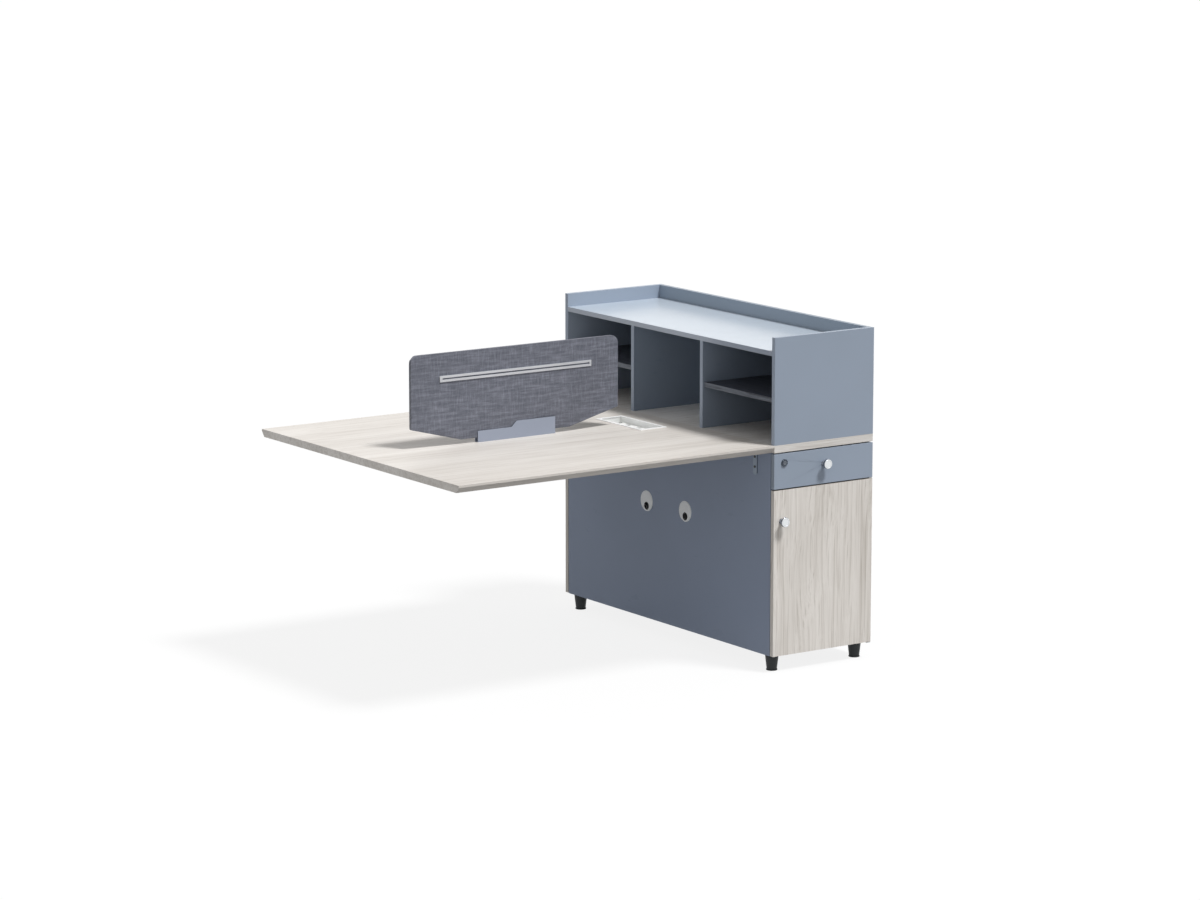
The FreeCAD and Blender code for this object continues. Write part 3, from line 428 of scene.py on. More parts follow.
@dataclass(frozen=True)
class Sprayed(Finish):
    """A pressed laminate, sprayed paint or moulded plastic with a faint cloudy tone.

    Attributes:
        wear: how much handling marks lower its roughness.
    """

    wear: float = 0.08

    def pattern(self, wiring: Wiring) -> Sockets:
        """Blend the two tones by the film's clouds, and rub some places smoother.

        Args:
            wiring: the material's wiring.

        Returns:
            Its Face and Edge tones, its Height, and what feeds further inputs of the shader.
        """
        film = wiring.effect(SURFACE_FILM, Place=wiring.place())
        rough = wiring.spread(film["Rubs"], 0.0, 1.0, self.roughness, self.roughness - self.wear)
        tone = wiring.mix(film["Mottle"], self.dark, self.pale)
        return {"Face": tone, "Edge": self.edge, "Height": film["Height"], "Roughness": rough}


@dataclass(frozen=True)
class WoodDecor(Finish):
    """Laminate printed as wood, with its grain along one direction.

    Attributes:
        grain: the direction of the grain.
        streaks: how strong its fine streaks are.
    """

    gloss: float = 0.3
    depth: float = 0.00005
    grain: Direction = Direction.X
    streaks: float = 0.5

    def pattern(self, wiring: Wiring) -> Sockets:
        """Lay the grain along its direction, on the faces with the edge tone too.

        Args:
            wiring: the material's wiring.

        Returns:
            Its Face and Edge tones, its Height, and what feeds further inputs of the shader.
        """
        grain = wiring.effect(WOOD_GRAIN, Place=wiring.along(self.grain), Pale=self.pale,
                              Dark=self.dark, Streaks=self.streaks)
        tinted = wiring.mix(grain["Shade"], self.edge, self.dark)
        rough = wiring.spread(grain["Shade"], 0.0, 1.0, self.roughness, self.roughness + 0.12)
        return {"Face": grain["Color"], "Edge": tinted, "Height": grain["Height"], "Roughness": rough}


@dataclass(frozen=True)
class LinenCloth(Finish):
    """Heather linen-look cloth of light and dark yarn.

    Attributes:
        gap: the tone between the threads.
    """

    depth: float = 0.00025
    gap: Colour = rgb(58, 60, 70)

    def pattern(self, wiring: Wiring) -> Sockets:
        """Blend the yarns by the weave and darken the gaps between them.

        Args:
            wiring: the material's wiring.

        Returns:
            Its Face and Edge tones, its Height, and what feeds further inputs of the shader.
        """
        weave = wiring.effect(LINEN_WEAVE, Place=wiring.place())
        yarn = wiring.mix(weave["Tone"], self.dark, self.pale)
        gaps = wiring.calc("MULTIPLY", weave["Gaps"], 0.35)
        return {"Face": wiring.mix(gaps, yarn, self.gap), "Edge": self.edge, "Height": weave["Height"],
                "Sheen Weight": 0.25, "Sheen Roughness": 0.5}


@dataclass(frozen=True)
class DrawnMetal(Finish):
    """Drawn, ground or plated metal with fine lines along one direction.

    Attributes:
        along: the direction of the lines.
    """

    metallic: float = 1.0
    depth: float = 0.00001
    along: Direction = Direction.X

    def pattern(self, wiring: Wiring) -> Sockets:
        """Run the lines along their direction and dull the stained places.

        Args:
            wiring: the material's wiring.

        Returns:
            Its Face and Edge tones, its Height, and what feeds further inputs of the shader.
        """
        lines = wiring.effect(BRUSHING, Place=wiring.along(self.along))
        rough = wiring.calc("MULTIPLY_ADD", lines["Stains"], 0.1, self.roughness)
        tone = wiring.mix(lines["Stains"], self.pale, self.dark)
        return {"Face": tone, "Edge": self.edge, "Height": lines["Lines"], "Roughness": rough}


# One blue laminate, with copies for some boards: the long panel's is a little bluer, the hutch top's is
# painted lighter as lit, the backs' and the bay partitions' are painted darker as shaded, and the eased
# edges' is lighter, partly wear and partly a painted highlight.
BLUE = Sprayed("blue_laminate", "blue_laminate", 0.3, rgb(166, 178, 195), rgb(161, 173, 189), gloss=0.12,
               wear=0.03)
BLUE_PANEL = replace(BLUE, name="panel_laminate", pale=rgb(162, 175, 199), dark=rgb(157, 170, 193))
# Painted shade: the backs of the hutch and the cabinet are a darker, shaded copy of the blue, standing for
# the shade inside the hutch's rim and bays.
BLUE_BACK_PAINTED_SHADE = replace(BLUE, name="back_laminate", pale=rgb(150, 162, 176), dark=rgb(145, 157, 170))
# Painted light: the hutch top is a lighter, lit copy of the blue, standing for the light from above on it;
# its faces along X, its front and back edges, keep about the plain blue.
BLUE_TOP_PAINTED_LIT = replace(BLUE, name="painted_lit_top_laminate", roughness=0.2, gloss=0.6, pale=rgb(208, 219, 231),
                   dark=rgb(202, 213, 225), edge_face=Direction.X, edge=rgb(163, 173, 188))
# Painted shade: the partitions inside the bays are a darker, shaded copy of the blue; their faces along X,
# the front edges, keep about the plain blue.
BLUE_BAY_PAINTED_SHADE = replace(BLUE, name="bay_laminate", pale=rgb(139, 150, 166), dark=rgb(134, 145, 160),
                   edge_face=Direction.X, edge=rgb(160, 171, 187))
BLUE_INNER = replace(BLUE, name="inner_laminate", slot="inner_board", roughness=0.5)
# The eased edges are lighter, partly handling wear and partly a painted highlight along each edge.
BLUE_ARRIS_WEAR_AND_HIGHLIGHT = replace(BLUE, name="blue_arris_wear_and_highlight", roughness=0.34, pale=rgb(176, 186, 200),
                     dark=rgb(168, 178, 192))
# Painted light: the desk's faces along X, its free end among them, get a lighter tone that stands for the
# light on them.
DESK_WOOD = WoodDecor("desk_wood", "desk_wood", 0.46, rgb(237, 232, 226), rgb(193, 185, 176), gloss=0.4,
                      edge_face=Direction.X, edge=rgb(252, 248, 243))
BOARD_WOOD = WoodDecor("board_wood", "board_wood", 0.5, rgb(248, 245, 242), rgb(200, 194, 186), streaks=1.0)
# Painted shade: the door's faces along Z, its top and bottom edges, are painted dark as the shade in the
# gaps above and below it.
DOOR_WOOD = WoodDecor("door_wood", "door_wood", 0.46, rgb(250, 245, 239), rgb(193, 185, 175),
                      grain=Direction.Z, streaks=1.0, edge_face=Direction.Z, edge=rgb(120, 115, 108))
WOOD_ARRIS = WoodDecor("wood_arris", "desk_wood", 0.35, rgb(240, 236, 230), rgb(189, 183, 174))
SHELF_WOOD = WoodDecor("shelf_wood", "shelf_laminate", 0.45, rgb(66, 69, 79), rgb(38, 41, 50),
                       grain=Direction.Y, streaks=1.0, edge_face=Direction.X, edge=rgb(124, 131, 142))
LINEN = LinenCloth("linen", "fabric", 0.9, rgb(156, 159, 172), rgb(89, 93, 105), gloss=0.25)
RAIL_METAL = DrawnMetal("rail_aluminium", "aluminium", 0.45, rgb(209, 211, 216), rgb(200, 202, 207),
                        metallic=0.1)
CLAMP_PAINT = Sprayed("clamp_paint", "clamp_steel", 0.45, rgb(155, 163, 180), rgb(150, 158, 175),
                      depth=0.00012)
# Painted shade: the bracket's faces along Y, its sides, are painted dark as the shade beside it on the
# panel.
BRACKET_PAINT = replace(CLAMP_PAINT, name="bracket_paint", slot="bracket_steel", pale=rgb(176, 191, 209),
                        dark=rgb(168, 183, 201), edge_face=Direction.Y, edge=rgb(52, 62, 76))
RUBBER = Sprayed("rubber", "rubber", 0.8, rgb(42, 42, 44), rgb(34, 34, 36))
PLATED = DrawnMetal("plated_steel", "plain_steel", 0.32, rgb(200, 202, 204), rgb(176, 178, 180))
DARK_PLATED = DrawnMetal("dark_plated_steel", "dark_steel", 0.4, rgb(84, 85, 89), rgb(64, 65, 69))
MILL_STEEL = DrawnMetal("mill_steel", "raw_steel", 0.5, rgb(122, 124, 128), rgb(92, 92, 96),
                        along=Direction.Z, depth=0.00003)
# Painted light and shade: the knob's faces along Y are painted light as a highlight on its face, and its
# sides and neck are painted darker as shade and dark reflection.
NICKEL_LIT_FACE_SHADED_SIDES = DrawnMetal("satin_nickel", "chrome", 0.28, rgb(136, 141, 150), rgb(120, 125, 134),
                    depth=0.000004, edge_face=Direction.Y, edge=rgb(228, 231, 233))
LOCK_METAL = DrawnMetal("lock_chrome", "lock_chrome", 0.16, rgb(84, 90, 100), rgb(62, 68, 78),
                        depth=0.000004)
PLUG_METAL = replace(LOCK_METAL, name="plug_chrome", pale=rgb(126, 132, 140), dark=rgb(100, 106, 114))
FOOT_PLASTIC = Sprayed("foot_plastic", "foot_plastic", 0.5, rgb(64, 67, 69), rgb(54, 57, 59), gloss=0.3,
                       depth=0.0001)
GROMMET_PLASTIC = Sprayed("grommet_plastic", "grommet_plastic", 0.38, rgb(246, 250, 252),
                          rgb(240, 244, 247), gloss=0.9)
SOCKET_PLASTIC = Sprayed("socket_plastic", "socket_plastic", 0.5, rgb(252, 252, 251), rgb(248, 249, 247),
                         gloss=0.3, depth=0.00002)
FRAME_PLASTIC = replace(SOCKET_PLASTIC, name="frame_plastic", roughness=0.6, gloss=0.1,
                        pale=rgb(254, 254, 254), dark=rgb(251, 251, 250))
# Painted shade: a dark disc at the foot of each contact's bore stands for the shade deep in a hole.
PAINTED_HOLE_SHADE = Sprayed("painted_hole_shade", "foot_plastic", 0.6, rgb(30, 30, 32), rgb(22, 22, 24))
DRAWER_BOARD = Sprayed("drawer_board", "drawer_board", 0.5, rgb(216, 217, 217), rgb(208, 209, 209))


def dress(node: str, finish: Finish, easing: float = 0.0, arris: Finish | None = None) -> None:
    """Give a node of the model its finish and take the sharpness off its edges.

    Args:
        node: the node's name.
        finish: the finish of its faces.
        easing: how wide its edges are eased.
        arris: the finish of the eased edges, if they differ.
    """
    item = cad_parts[node]
    item.data.materials.clear()
    for part in (finish, arris or finish):
        item.data.materials.append(part.material())
    if easing:
        weld = item.modifiers.new("weld", "WELD")
        weld.merge_threshold = WELD_REACH
        bevel = item.modifiers.new("easing", "BEVEL")
        bevel.width = easing
        bevel.segments = EASING_STEPS
        bevel.limit_method = "ANGLE"
        bevel.angle_limit = math.radians(EASED_FROM)
        bevel.material = 1
        bevel.harden_normals = True
    LOG.info("node %s: %s", node, finish.name)


def eased(corners: Sequence[Corner], closed: bool = False, steps: int = 4) -> list[Vector]:
    """Round the corners of a flat line.

    Args:
        corners: each corner's two coordinates, and how far from it its rounding starts.
        closed: whether the line comes back to its first corner.
        steps: how many short lines make one rounding.

    Returns:
        The points of the line.
    """
    points = [Vector(corner[:2]) for corner in corners]
    line: list[Vector] = []
    for index, (corner, (_, _, reach)) in enumerate(zip(points, corners)):
        at_end = not closed and index in (0, len(points) - 1)
        if at_end or not reach:
            line.append(corner)
            continue
        before = corner + (points[index - 1] - corner).normalized() * reach
        after = corner + (points[(index + 1) % len(points)] - corner).normalized() * reach
        for step in range(steps + 1):
            share = step / steps
            line.append(before.lerp(corner, share).lerp(corner.lerp(after, share), share))
    return line


class Shape:
    """The mesh of one piece while it is being made."""

    def __init__(self) -> None:
        """Start with an empty mesh."""
        self.mesh = bmesh.new()

    def turn(self, profile: Sequence[Vector], seat: Vector, axis: Vector, sides: int = 72,
             closed: bool = False) -> "Shape":
        """Add a round solid, turned from a profile.

        Args:
            profile: distance from the axis and distance along it, for each point.
            seat: where the axis starts.
            axis: the unit vector along it.
            sides: how many faces go round.
            closed: whether the profile is a closed loop that doesn't touch the axis.

        Returns:
            This shape.
        """
        turn = Matrix.Translation(seat) @ axis.to_track_quat("Z", "Y").to_matrix().to_4x4()
        rings: list[list[bmesh.types.BMVert]] = []
        for radius, along in profile:
            count = sides if radius > 1e-7 else 1
            spots = [Matrix.Rotation(math.tau * k / sides, 4, "Z") @ Vector((radius, 0, along))
                     for k in range(count)]
            rings.append([self.mesh.verts.new(turn @ spot) for spot in spots])
        for low, high in zip(rings, rings[1:] + rings[:1] if closed else rings[1:]):
            for k in range(sides):
                around = ((low, k), (low, k + 1), (high, k + 1), (high, k))
                corners = list(dict.fromkeys(ring[place % len(ring)] for ring, place in around))
                if len(corners) > 2:
                    self.mesh.faces.new(corners)
        return self

    def slab(self, outline: Sequence[Vector], low: float, high: float, easing: float,
             steps: int) -> "Shape":
        """Add an upright slab with a flat outline and eased edges.

        Args:
            outline: X and Z of each point round it.
            low: the lower Y of the slab.
            high: the higher Y of the slab.
            easing: how wide its edges are rounded.
            steps: how many faces make the rounding.

        Returns:
            This shape.
        """
        sides = [[self.mesh.verts.new((x, y, z)) for x, z in outline] for y in (low, high)]
        caps = [self.mesh.faces.new(sides[0]), self.mesh.faces.new(list(reversed(sides[1])))]
        for k, (first, second) in enumerate(zip(*sides)):
            following = (k + 1) % len(outline)
            self.mesh.faces.new([second, sides[1][following], sides[0][following], first])
        return self.ease([edge for cap in caps for edge in cap.edges], easing, steps)

    def block(self, low: Vector, high: Vector, easing: float) -> "Shape":
        """Add a box-like solid with eased edges.

        Args:
            low: its lowest corner.
            high: its highest corner.
            easing: how wide its edges are rounded.

        Returns:
            This shape.
        """
        place = Matrix.Translation((low + high) / 2) @ Matrix.Diagonal((*(high - low), 1.0))
        made = bmesh.ops.create_cube(self.mesh, size=1.0, matrix=place)
        edges = list({edge for vert in made["verts"] for edge in vert.link_edges})
        return self.ease(edges, easing, EASING_STEPS)

    def ease(self, edges: list[bmesh.types.BMEdge], easing: float, steps: int) -> "Shape":
        """Round some edges so wide, with so many faces across each."""
        bmesh.ops.bevel(self.mesh, geom=edges, offset=easing, segments=steps, profile=0.5,
                        affect="EDGES", clamp_overlap=True)
        return self

    def piece(self, name: str, finish: Finish, body: str, stands_for: Sequence[str] = ()) -> None:
        """Turn the mesh into a piece of the object.

        Args:
            name: the piece's name.
            finish: its finish.
            body: the body that it moves with.
            stands_for: the nodes that it is shown in place of.
        """
        bmesh.ops.recalc_face_normals(self.mesh, faces=self.mesh.faces)
        data = bpy.data.meshes.new(name)
        self.mesh.to_mesh(data)
        self.mesh.free()
        data.shade_smooth()
        data.set_sharp_from_angle(angle=math.radians(SMOOTH_BELOW))
        item = bpy.data.objects.new(name, data)
        bpy.context.scene.collection.objects.link(item)
        data.materials.append(finish.material())
        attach(item, body)
        if stands_for:
            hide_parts(*stands_for)
        LOG.info("piece %s on %s: %s", name, body, finish.name)


@dataclass
class DeskTop:
    """The desk board, the board on the cabinet, and what is screwed under them.

    Attributes:
        easing: width of the boards' eased edges.
    """

    easing: float = 0.0008

    def build(self) -> None:
        """Dress the two boards, the leg inserts, the brackets and every screw."""
        dress("desk_top", DESK_WOOD, self.easing, WOOD_ARRIS)
        dress("cabinet_top_board", BOARD_WOOD, self.easing, WOOD_ARRIS)
        dress("leg_inserts", PLATED, SCREW_EDGE)
        dress("desk_brackets", BRACKET_PAINT, BENT_EDGE)
        dress("fixing_screws", DARK_PLATED, SCREW_EDGE)


@dataclass
class Cabinet:
    """The cabinet's boards, its counterweight and its four moulded feet.

    Attributes:
        easing: width of the boards' eased edges.
        foot_radius: radius of a foot's collar.
        glide_radius: radius of the glide that it stands on.
        neck_radius: radius just above the glide.
        foot_height: from the floor to the base panel.
        collar: height of the collar under the base panel.
        glide: height of the glide.
        groove: depth of the groove over the glide.
        groove_top: from the glide to the groove's upper edge.
        flare: share of its taper that a foot has under the collar.
        step: how far the collar stands out over the taper.
        slope: half the height of that step.
        inner_boards: the nodes of the boards inside.
    """

    easing: float = 0.0006
    foot_radius: float = 0.023
    glide_radius: float = 0.0185
    neck_radius: float = 0.017
    foot_height: float = 0.054
    collar: float = 0.005
    glide: float = 0.004
    groove: float = 0.0006
    groove_top: float = 0.0014
    flare: float = 0.84
    step: float = 0.0014
    slope: float = 0.001
    inner_boards: tuple[str, ...] = ("cabinet_base_panel", "near_partition", "far_partition",
                                     "drawer_decks", "cupboard_shelves")

    def build(self) -> None:
        """Dress the boards and turn the feet."""
        dress("cabinet_front_panel", BLUE_PANEL, self.easing)
        dress("cabinet_back_panel", BLUE_BACK_PAINTED_SHADE, self.easing)
        for node in self.inner_boards:
            dress(node, BLUE_INNER, self.easing, BLUE_ARRIS_WEAR_AND_HIGHLIGHT)
        dress("shelf_pins", PLATED, STEEL_EDGE)
        dress("counterweight_plate", MILL_STEEL, PLATE_EDGE)
        self.feet()

    def feet(self) -> None:
        """Turn four tapered feet, each with a glide, a groove and a collar."""
        low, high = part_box("cabinet_feet")
        radius, neck, top = self.foot_radius, self.neck_radius, self.foot_height
        under = top - self.collar
        profile = eased([
            (0.0, 0.0, 0.0), (self.glide_radius, 0.0, 0.0012), (self.glide_radius, self.glide, 0.0012),
            (neck - self.groove, self.glide + self.groove, 0.0004),
            (neck, self.glide + self.groove_top, 0.0004),
            (neck + self.flare * (radius - neck), under - self.slope, 0.0004),
            (radius - self.step, under, 0.0004), (radius, under + self.slope, 0.0006),
            (radius, top, 0.0), (0.0, top, 0.0),
        ])
        shape = Shape()
        for x in (low.x + radius, high.x - radius):
            for y in (low.y + radius, high.y - radius):
                shape.turn(profile, Vector((x, y, 0.0)), Direction.Z.unit)
        shape.piece("moulded_feet", FOOT_PLASTIC, "cabinet", ["cabinet_feet"])


@dataclass
class Hutch:
    """The open case on the cabinet, with its rim, partitions and dark shelves.

    Attributes:
        easing: width of the boards' eased edges.
    """

    easing: float = 0.0006

    def build(self) -> None:
        """Dress the case, its partitions and its two shelves."""
        dress("hutch_back", BLUE_BACK_PAINTED_SHADE, self.easing, BLUE_ARRIS_WEAR_AND_HIGHLIGHT)
        dress("hutch_top", BLUE_TOP_PAINTED_LIT, self.easing, BLUE_ARRIS_WEAR_AND_HIGHLIGHT)
        for end in End:
            dress(f"{end.label}_hutch_side", BLUE, self.easing, BLUE_ARRIS_WEAR_AND_HIGHLIGHT)
            dress(f"{end.label}_hutch_partition", BLUE_BAY_PAINTED_SHADE, self.easing, BLUE_ARRIS_WEAR_AND_HIGHLIGHT)
            dress(f"{end.label}_hutch_shelf", SHELF_WOOD, self.easing)


@dataclass
class Grommets:
    """The two cable grommets in the long panel.

    Attributes:
        easing: width of the eased edges of rings and caps.
        hole: radius of the cable hole in a cap.
        drop: how far the hole is under the cap's centre.
        bush: thickness of the rubber bush that lines the hole.
        lip: width of the bush's lip round the hole.
        proud: how far the lip stands out from the cap's face.
        play: between the bush and the hole.
        depth: from the cap's face to the bush's inner end.
    """

    easing: float = 0.0005
    hole: float = 0.012
    drop: float = 0.0168
    bush: float = 0.0008
    lip: float = 0.0014
    proud: float = 0.0004
    play: float = 0.00005
    depth: float = 0.0034

    def build(self) -> None:
        """Dress the rings and the turning caps, and line the cable holes."""
        dress("grommet_rings", GROMMET_PLASTIC, self.easing)
        for end in End:
            dress(f"{end.label}_grommet_cap", GROMMET_PLASTIC, self.easing)
            self.line_hole(end)

    def line_hole(self, end: End) -> None:
        """Turn the rubber bush in one cap's cable hole.

        Args:
            end: the end of the cabinet that the cap is nearer to.
        """
        low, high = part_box(f"{end.label}_grommet_cap")
        seat = Vector((low.x, (low.y + high.y) / 2, (low.z + high.z) / 2 - self.drop))
        inner, sleeve, outer = self.hole - self.bush, self.hole - self.play, self.hole + self.lip
        profile = eased([
            (inner, -self.proud, 0.0003), (outer, -self.proud, 0.0004), (outer, 0.0, 0.0),
            (sleeve, 0.0, 0.0), (sleeve, self.depth, 0.0), (inner, self.depth, 0.0003),
        ], closed=True)
        shape = Shape().turn(profile, seat, Direction.X.unit, closed=True)
        shape.piece(f"{end.label}_cable_bush", RUBBER, f"{end.label}_cap")


@dataclass
class Knob:
    """A turned metal knob on a drawer front or a door.

    Attributes:
        length: how far it stands out.
        head: thickness of its head.
        radius: radius of its head.
        neck: radius of its neck.
        foot: radius of the flange against the board.
        flange: thickness of that flange.
        waist: from the board to the neck's narrow part.
        throat: from the end of that part to the head.
        lean: how far the back of the head slopes.
        shoulder: how far it is rounded.
        crown: how far the face slopes to its chamfer.
        chamfer: width of the chamfer round the face.
        dish: radius of the dished middle of the face.
        slant: width of the slope into the dish.
        dip: depth of the dish at its rim.
        swell: share of that depth at its middle.
    """

    length: float = 0.025
    head: float = 0.009
    radius: float = 0.016
    neck: float = 0.0065
    foot: float = 0.009
    flange: float = 0.0024
    waist: float = 0.0062
    throat: float = 0.0035
    lean: float = 0.0006
    shoulder: float = 0.0022
    crown: float = 0.0003
    chamfer: float = 0.001
    dish: float = 0.0118
    slant: float = 0.0008
    dip: float = 0.0007
    swell: float = 0.8

    def build(self, node: str, body: str, end: End) -> None:
        """Turn the knob where its node is.

        Args:
            node: the knob's node.
            body: the body that it moves with.
            end: the end of the cabinet that it is on.
        """
        low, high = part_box(node)
        seat = Vector(((low.x + high.x) / 2, high.y if end is End.NEAR else low.y, (low.z + high.z) / 2))
        radius, face, start = self.radius, self.length, self.length - self.head
        profile = eased([
            (0.0, 0.0, 0.0), (self.foot, 0.0, 0.0), (self.foot, self.flange, 0.0011),
            (self.neck, self.waist, 0.0026), (self.neck, start - self.throat, 0.0022),
            (radius - self.shoulder, start + self.lean, 0.0018), (radius, start + self.shoulder, 0.0012),
            (radius, face - self.chamfer - self.crown, 0.0004),
            (radius - self.chamfer, face - self.crown, 0.0003), (radius - 2 * self.chamfer, face, 0.0006),
            (self.dish, face, 0.0004), (self.dish - self.slant, face - self.dip, 0.0004),
            (0.0, face - self.dip * self.swell, 0.0),
        ])
        shape = Shape().turn(profile, seat, Direction.Y.unit * end.value, sides=96)
        shape.piece(node.replace("knob", "turned_knob"), NICKEL_LIT_FACE_SHADED_SIDES, body, [node])


@dataclass
class Drawer:
    """A locking drawer on its runners.

    Attributes:
        end: the end of the cabinet that it is at.
        easing: width of the front's eased edges.
    """

    end: End
    easing: float = 0.0006

    def build(self) -> None:
        """Dress the front, box, lock and runners, and turn the knob."""
        name = self.end.label
        dress(f"{name}_drawer_front", BLUE, self.easing, BLUE_ARRIS_WEAR_AND_HIGHLIGHT)
        dress(f"{name}_drawer_box", DRAWER_BOARD, BOX_EDGE)
        dress(f"{name}_drawer_bottom", DRAWER_BOARD)
        dress(f"{name}_drawer_knob_screw", PLATED, SCREW_EDGE)
        dress(f"{name}_lock_body", LOCK_METAL, LOCK_EDGE)
        dress(f"{name}_lock_plug", PLUG_METAL, SCREW_EDGE)
        for member in ("middles", "inners"):
            dress(f"{name}_runner_{member}", PLATED, STEEL_EDGE)
        Knob().build(f"{name}_drawer_knob", f"{name}_drawer", self.end)


@dataclass
class Cupboard:
    """A cupboard door on its pins.

    Attributes:
        end: the end of the cabinet that it is at.
        easing: width of the door's eased edges.
    """

    end: End
    easing: float = 0.0004

    def build(self) -> None:
        """Dress the door and turn its knob."""
        name = self.end.label
        dress(f"{name}_door", DOOR_WOOD, self.easing)
        dress(f"{name}_door_knob_screw", PLATED, SCREW_EDGE)
        Knob().build(f"{name}_door_knob", f"{name}_cupboard_door", self.end)


@dataclass
class Fittings:
    """The fixed steel fittings of drawers and doors.

    Attributes:
        nodes: their nodes.
    """

    nodes: tuple[str, ...] = ("runner_outers", "hinge_leaves", "lock_strikes")

    def build(self) -> None:
        """Dress every fitting."""
        for node in self.nodes:
            dress(node, PLATED, STEEL_EDGE)


@dataclass
class Screen:
    """The cloth-covered screen with its rails, its steel clamp and the clamp's pads.

    Attributes:
        corner_run: length of the slanted bottom corners along X.
        corner_rise: their height.
        blunt: reach of the rounding above them.
        rounding: reach of the rounded top corners.
        fold: how wide the cloth rounds the board's edges.
    """

    corner_run: float = 0.19
    corner_rise: float = 0.05
    blunt: float = 0.004
    rounding: float = 0.028
    fold: float = 0.0046

    def build(self) -> None:
        """Make the covered board, and dress the rails, clamp and pads."""
        low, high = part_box("screen_panel")
        outline = eased([
            (low.x + self.corner_run, low.z, 0.0), (high.x - self.corner_run, low.z, 0.0),
            (high.x, low.z + self.corner_rise, self.blunt), (high.x, high.z, self.rounding),
            (low.x, high.z, self.rounding), (low.x, low.z + self.corner_rise, self.blunt),
        ], closed=True, steps=10)
        shape = Shape().slab(outline, low.y, high.y, self.fold, steps=5)
        shape.piece("covered_screen", LINEN, "cabinet", ["screen_panel"])
        dress("screen_rails", RAIL_METAL, BENT_EDGE)
        dress("screen_clamp", CLAMP_PAINT, CLAMP_EDGE)
        dress("clamp_pads", RUBBER, STEEL_EDGE)


@dataclass
class SocketBox:
    """The socket box in the desk board, with three plain outlets.

    Attributes:
        pin_gap: distance between the two pins of an outlet.
        sleeve: outer radius of a contact's sleeve.
        bore: radius of a contact's hole.
        rise: height of a sleeve over the recess floor.
        disc: thickness of the dark disc at the foot of a contact's bore, painted dark as the shade of a
            deep hole.
        recess_depth: depth of an outlet's recess.
        recess_radius: its radius.
        pitch: distance between outlets.
        clip: width, thickness and height of an earth clip.
        clip_gap: between a clip and the recess wall.
    """

    pin_gap: float = 0.019
    sleeve: float = 0.0036
    bore: float = 0.0025
    rise: float = 0.0009
    disc: float = 0.0003
    recess_depth: float = 0.012
    recess_radius: float = 0.019
    pitch: float = 0.064
    clip: tuple[float, float, float] = (0.0035, 0.0016, 0.0075)
    clip_gap: float = 0.0004

    def build(self) -> None:
        """Dress the box and add the contacts of each outlet."""
        dress("socket_frame", FRAME_PLASTIC, PLATE_EDGE)
        dress("socket_tray", SOCKET_PLASTIC, BENT_EDGE)
        dress("socket_outlets", SOCKET_PLASTIC, BOX_EDGE)
        self.contacts()

    def contacts(self) -> None:
        """Add sleeves, dark discs painted as the shade inside their bores, and earth clips to the three
        outlets.
        """
        low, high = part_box("socket_outlets")
        floor = high.z - self.recess_depth
        sleeves, holes, clips = Shape(), Shape(), Shape()
        ring = eased([(self.bore, 0.0, 0.0), (self.sleeve, 0.0, 0.0), (self.sleeve, self.rise, 0.0003),
                      (self.bore, self.rise, 0.0003)], closed=True)
        # A dark disc in each bore, painted as the shade of the hole.
        disc = eased([(0.0, 0.0, 0.0), (self.bore, 0.0, 0.0), (self.bore, self.disc, 0.0001),
                      (0.0, self.disc, 0.0)])
        width, thickness, height = self.clip
        half = Vector((thickness, width, 0.0)) / 2
        reach = self.recess_radius - thickness / 2 - self.clip_gap
        for row in (-1, 0, 1):
            middle = Vector(((low.x + high.x) / 2, row * self.pitch, floor))
            for side in (-1, 1):
                seat = middle + Direction.Y.unit * side * self.pin_gap / 2
                sleeves.turn(ring, seat, Direction.Z.unit, sides=32, closed=True)
                holes.turn(disc, seat, Direction.Z.unit, sides=32)
                edge = middle + Direction.X.unit * side * reach
                clips.block(edge - half, edge + half + Direction.Z.unit * height, 0.0004)
        sleeves.piece("outlet_sleeves", SOCKET_PLASTIC, "cabinet")
        holes.piece("outlet_hole_shades", PAINTED_HOLE_SHADE, "cabinet")
        clips.piece("earth_clips", PLATED, "cabinet")


@dataclass(frozen=True)
class Viewpoint:
    """Where the photograph was taken from.

    Attributes:
        place: the camera's place.
        yaw: how far it looks to the right of +Y, in degrees.
        pitch: how far it looks down, in degrees.
        lens: focal length in millimetres, for a film 36 mm wide.
    """

    place: tuple[float, float, float] = (-7.6445, -11.3529, 3.204)
    yaw: float = 34.4135
    pitch: float = 10.4196
    lens: float = 127.587

    def build(self) -> None:
        """Set up the scene's camera."""
        data = bpy.data.cameras.new("camera")
        data.lens = self.lens
        data.clip_start, data.clip_end = 0.1, 200.0
        camera = bpy.data.objects.new("camera", data)
        yaw, pitch = math.radians(self.yaw), math.radians(self.pitch)
        look = Vector((math.sin(yaw) * math.cos(pitch), math.cos(yaw) * math.cos(pitch), -math.sin(pitch)))
        camera.location = self.place
        camera.rotation_euler = look.to_track_quat("-Z", "Y").to_euler()
        bpy.context.scene.collection.objects.link(camera)
        bpy.context.scene.camera = camera


@dataclass(frozen=True)
class Lamp:
    """A distant soft lamp.

    Attributes:
        name: the lamp's name.
        way: the direction from the object to the lamp.
        width: how wide it looks from the object, in degrees.
        level: how bright it makes a white surface that faces it.
    """

    name: str
    way: tuple[float, float, float]
    width: float
    level: float

    def build(self) -> None:
        """Hang the lamp."""
        data = bpy.data.lights.new(self.name, "SUN")
        data.angle = math.radians(self.width)
        data.energy = self.level * math.pi
        lamp = bpy.data.objects.new(self.name, data)
        lamp.rotation_euler = (-Vector(self.way).normalized()).to_track_quat("-Z", "Y").to_euler()
        bpy.context.scene.collection.objects.link(lamp)


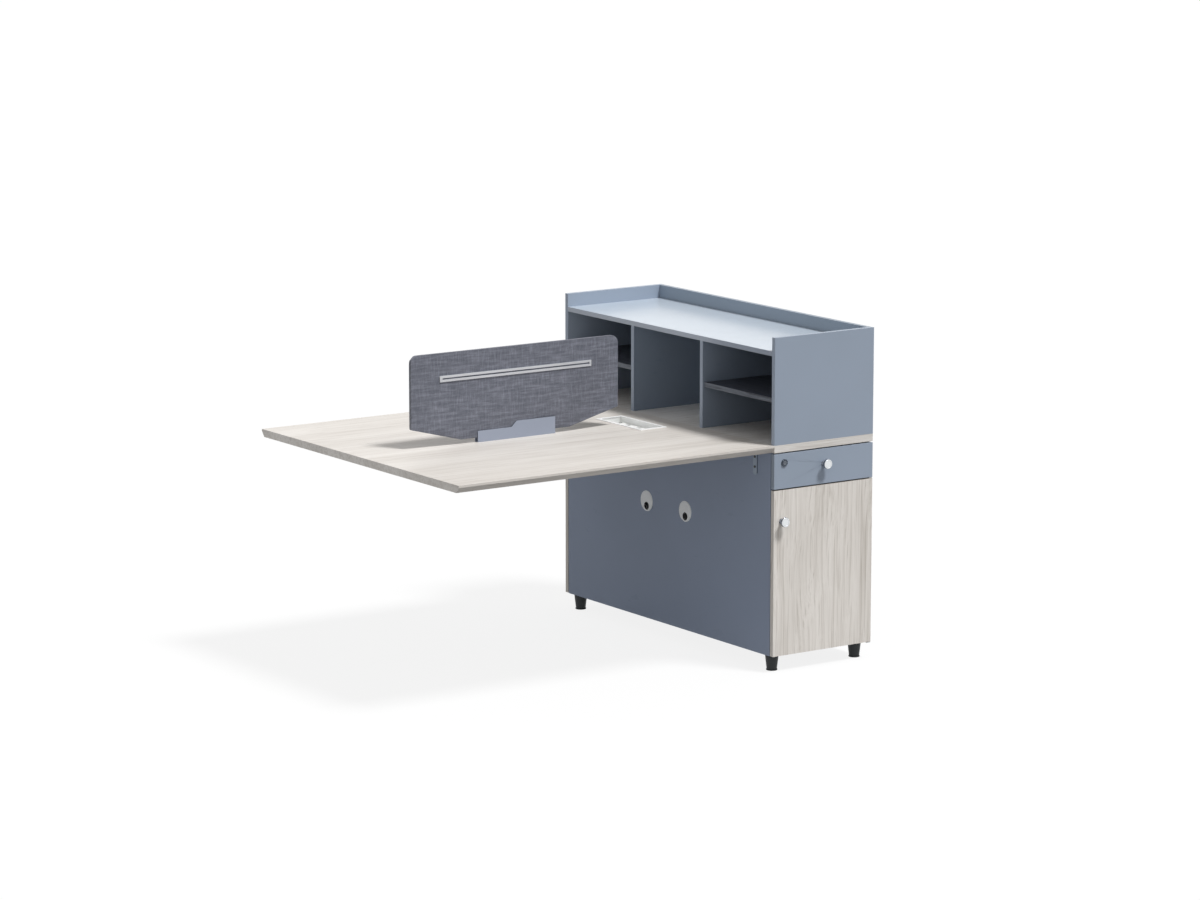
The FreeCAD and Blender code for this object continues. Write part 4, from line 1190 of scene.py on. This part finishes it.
@dataclass
class Studio:
    """A pale floor, a soft lamp and a white surround.

    Attributes:
        horizon: strength of the light that the surround gives the object from the side.
        zenith: strength of the light that it gives the object from above.
        floor_reach: half the floor's width.
        floor_tone: how much of the light on it the floor gives back.
        shadow_depth: how much of that the camera sees, as the object's shadow.
        lamps: the lamps.
    """

    horizon: float = 0.67
    zenith: float = 0.24
    floor_reach: float = 60.0
    floor_tone: float = 0.25
    shadow_depth: float = 0.15
    lamps: tuple[Lamp, ...] = (Lamp("key", (0.22, -0.42, 0.88), 13.0, 0.78),)

    def build(self) -> None:
        """Make the floor, the lamps and the surround."""
        bpy.context.scene.view_settings.view_transform = "Standard"
        self.floor()
        self.surround()
        for lamp in self.lamps:
            lamp.build()

    def seen(self, wiring: Wiring) -> Any:
        """Find out whether the camera sees a point, straight or by reflection or through glass.

        Args:
            wiring: the wiring of the floor's material or of the surround.

        Returns:
            1 where it does, 0 where it doesn't.
        """
        paths = wiring.add("LightPath").outputs
        straight = wiring.calc("MAXIMUM", paths["Is Camera Ray"], paths["Is Glossy Ray"])
        return wiring.calc("MAXIMUM", straight, paths["Is Transmission Ray"])

    def floor(self) -> None:
        """Lay a pale floor that keeps the object's shadow."""
        reach = self.floor_reach
        data = bpy.data.meshes.new("floor")
        data.from_pydata([(-reach, -reach, 0), (reach, -reach, 0), (reach, reach, 0), (-reach, reach, 0)],
                         [], [(0, 1, 2, 3)])
        floor = bpy.data.objects.new("floor", data)
        bpy.context.scene.collection.objects.link(floor)
        material = bpy.data.materials.new("pale_floor")
        material.use_nodes = True
        wiring = Wiring(material.node_tree)
        material.node_tree.nodes.remove(material.node_tree.nodes["Principled BSDF"])
        seen = self.seen(wiring)
        tone = wiring.spread(seen, 0.0, 1.0, self.floor_tone, self.shadow_depth)
        glow = wiring.calc("MULTIPLY", seen, 1.0 - self.shadow_depth)
        matt = wiring.add("BsdfDiffuse", {"Color": tone})
        shine = wiring.add("Emission", {"Color": (1.0, 1.0, 1.0, 1.0), "Strength": glow})
        both = wiring.add("AddShader", {0: matt.outputs[0], 1: shine.outputs[0]})
        wiring.fill(material.node_tree.nodes["Material Output"], {"Surface": both.outputs[0]})
        data.materials.append(material)

    def surround(self) -> None:
        """Light the scene evenly, and show white to the camera and in reflections."""
        world = bpy.data.worlds.new("surround")
        world.use_nodes = True
        wiring = Wiring(world.node_tree)
        _, _, height = wiring.split(wiring.add("TexCoord").outputs["Generated"])
        sockets = {0: height, 1: 0.0, 2: 1.0, 3: self.horizon, 4: self.zenith}
        light = wiring.add("MapRange", sockets).outputs[0]
        hidden = wiring.calc("SUBTRACT", 1.0, self.seen(wiring))
        strength = wiring.calc("MULTIPLY_ADD", hidden, wiring.calc("SUBTRACT", light, 1.0), 1.0)
        wiring.fill(world.node_tree.nodes["Background"],
                    {"Color": (1.0, 1.0, 1.0, 1.0), "Strength": strength})
        bpy.context.scene.world = world


def main() -> None:
    """Build every sub-assembly in order, then the studio."""
    logging.basicConfig(level=logging.INFO, format="%(name)s: %(message)s")
    parts = [DeskTop(), Cabinet(), Hutch(), Grommets(), Fittings(), Screen(), SocketBox()]
    parts += [Drawer(end) for end in End]
    parts += [Cupboard(end) for end in End]
    for part in parts:
        LOG.info("building %s", type(part).__name__)
        part.build()
    Viewpoint().build()
    Studio().build()


if __name__ == "__main__":
    main()
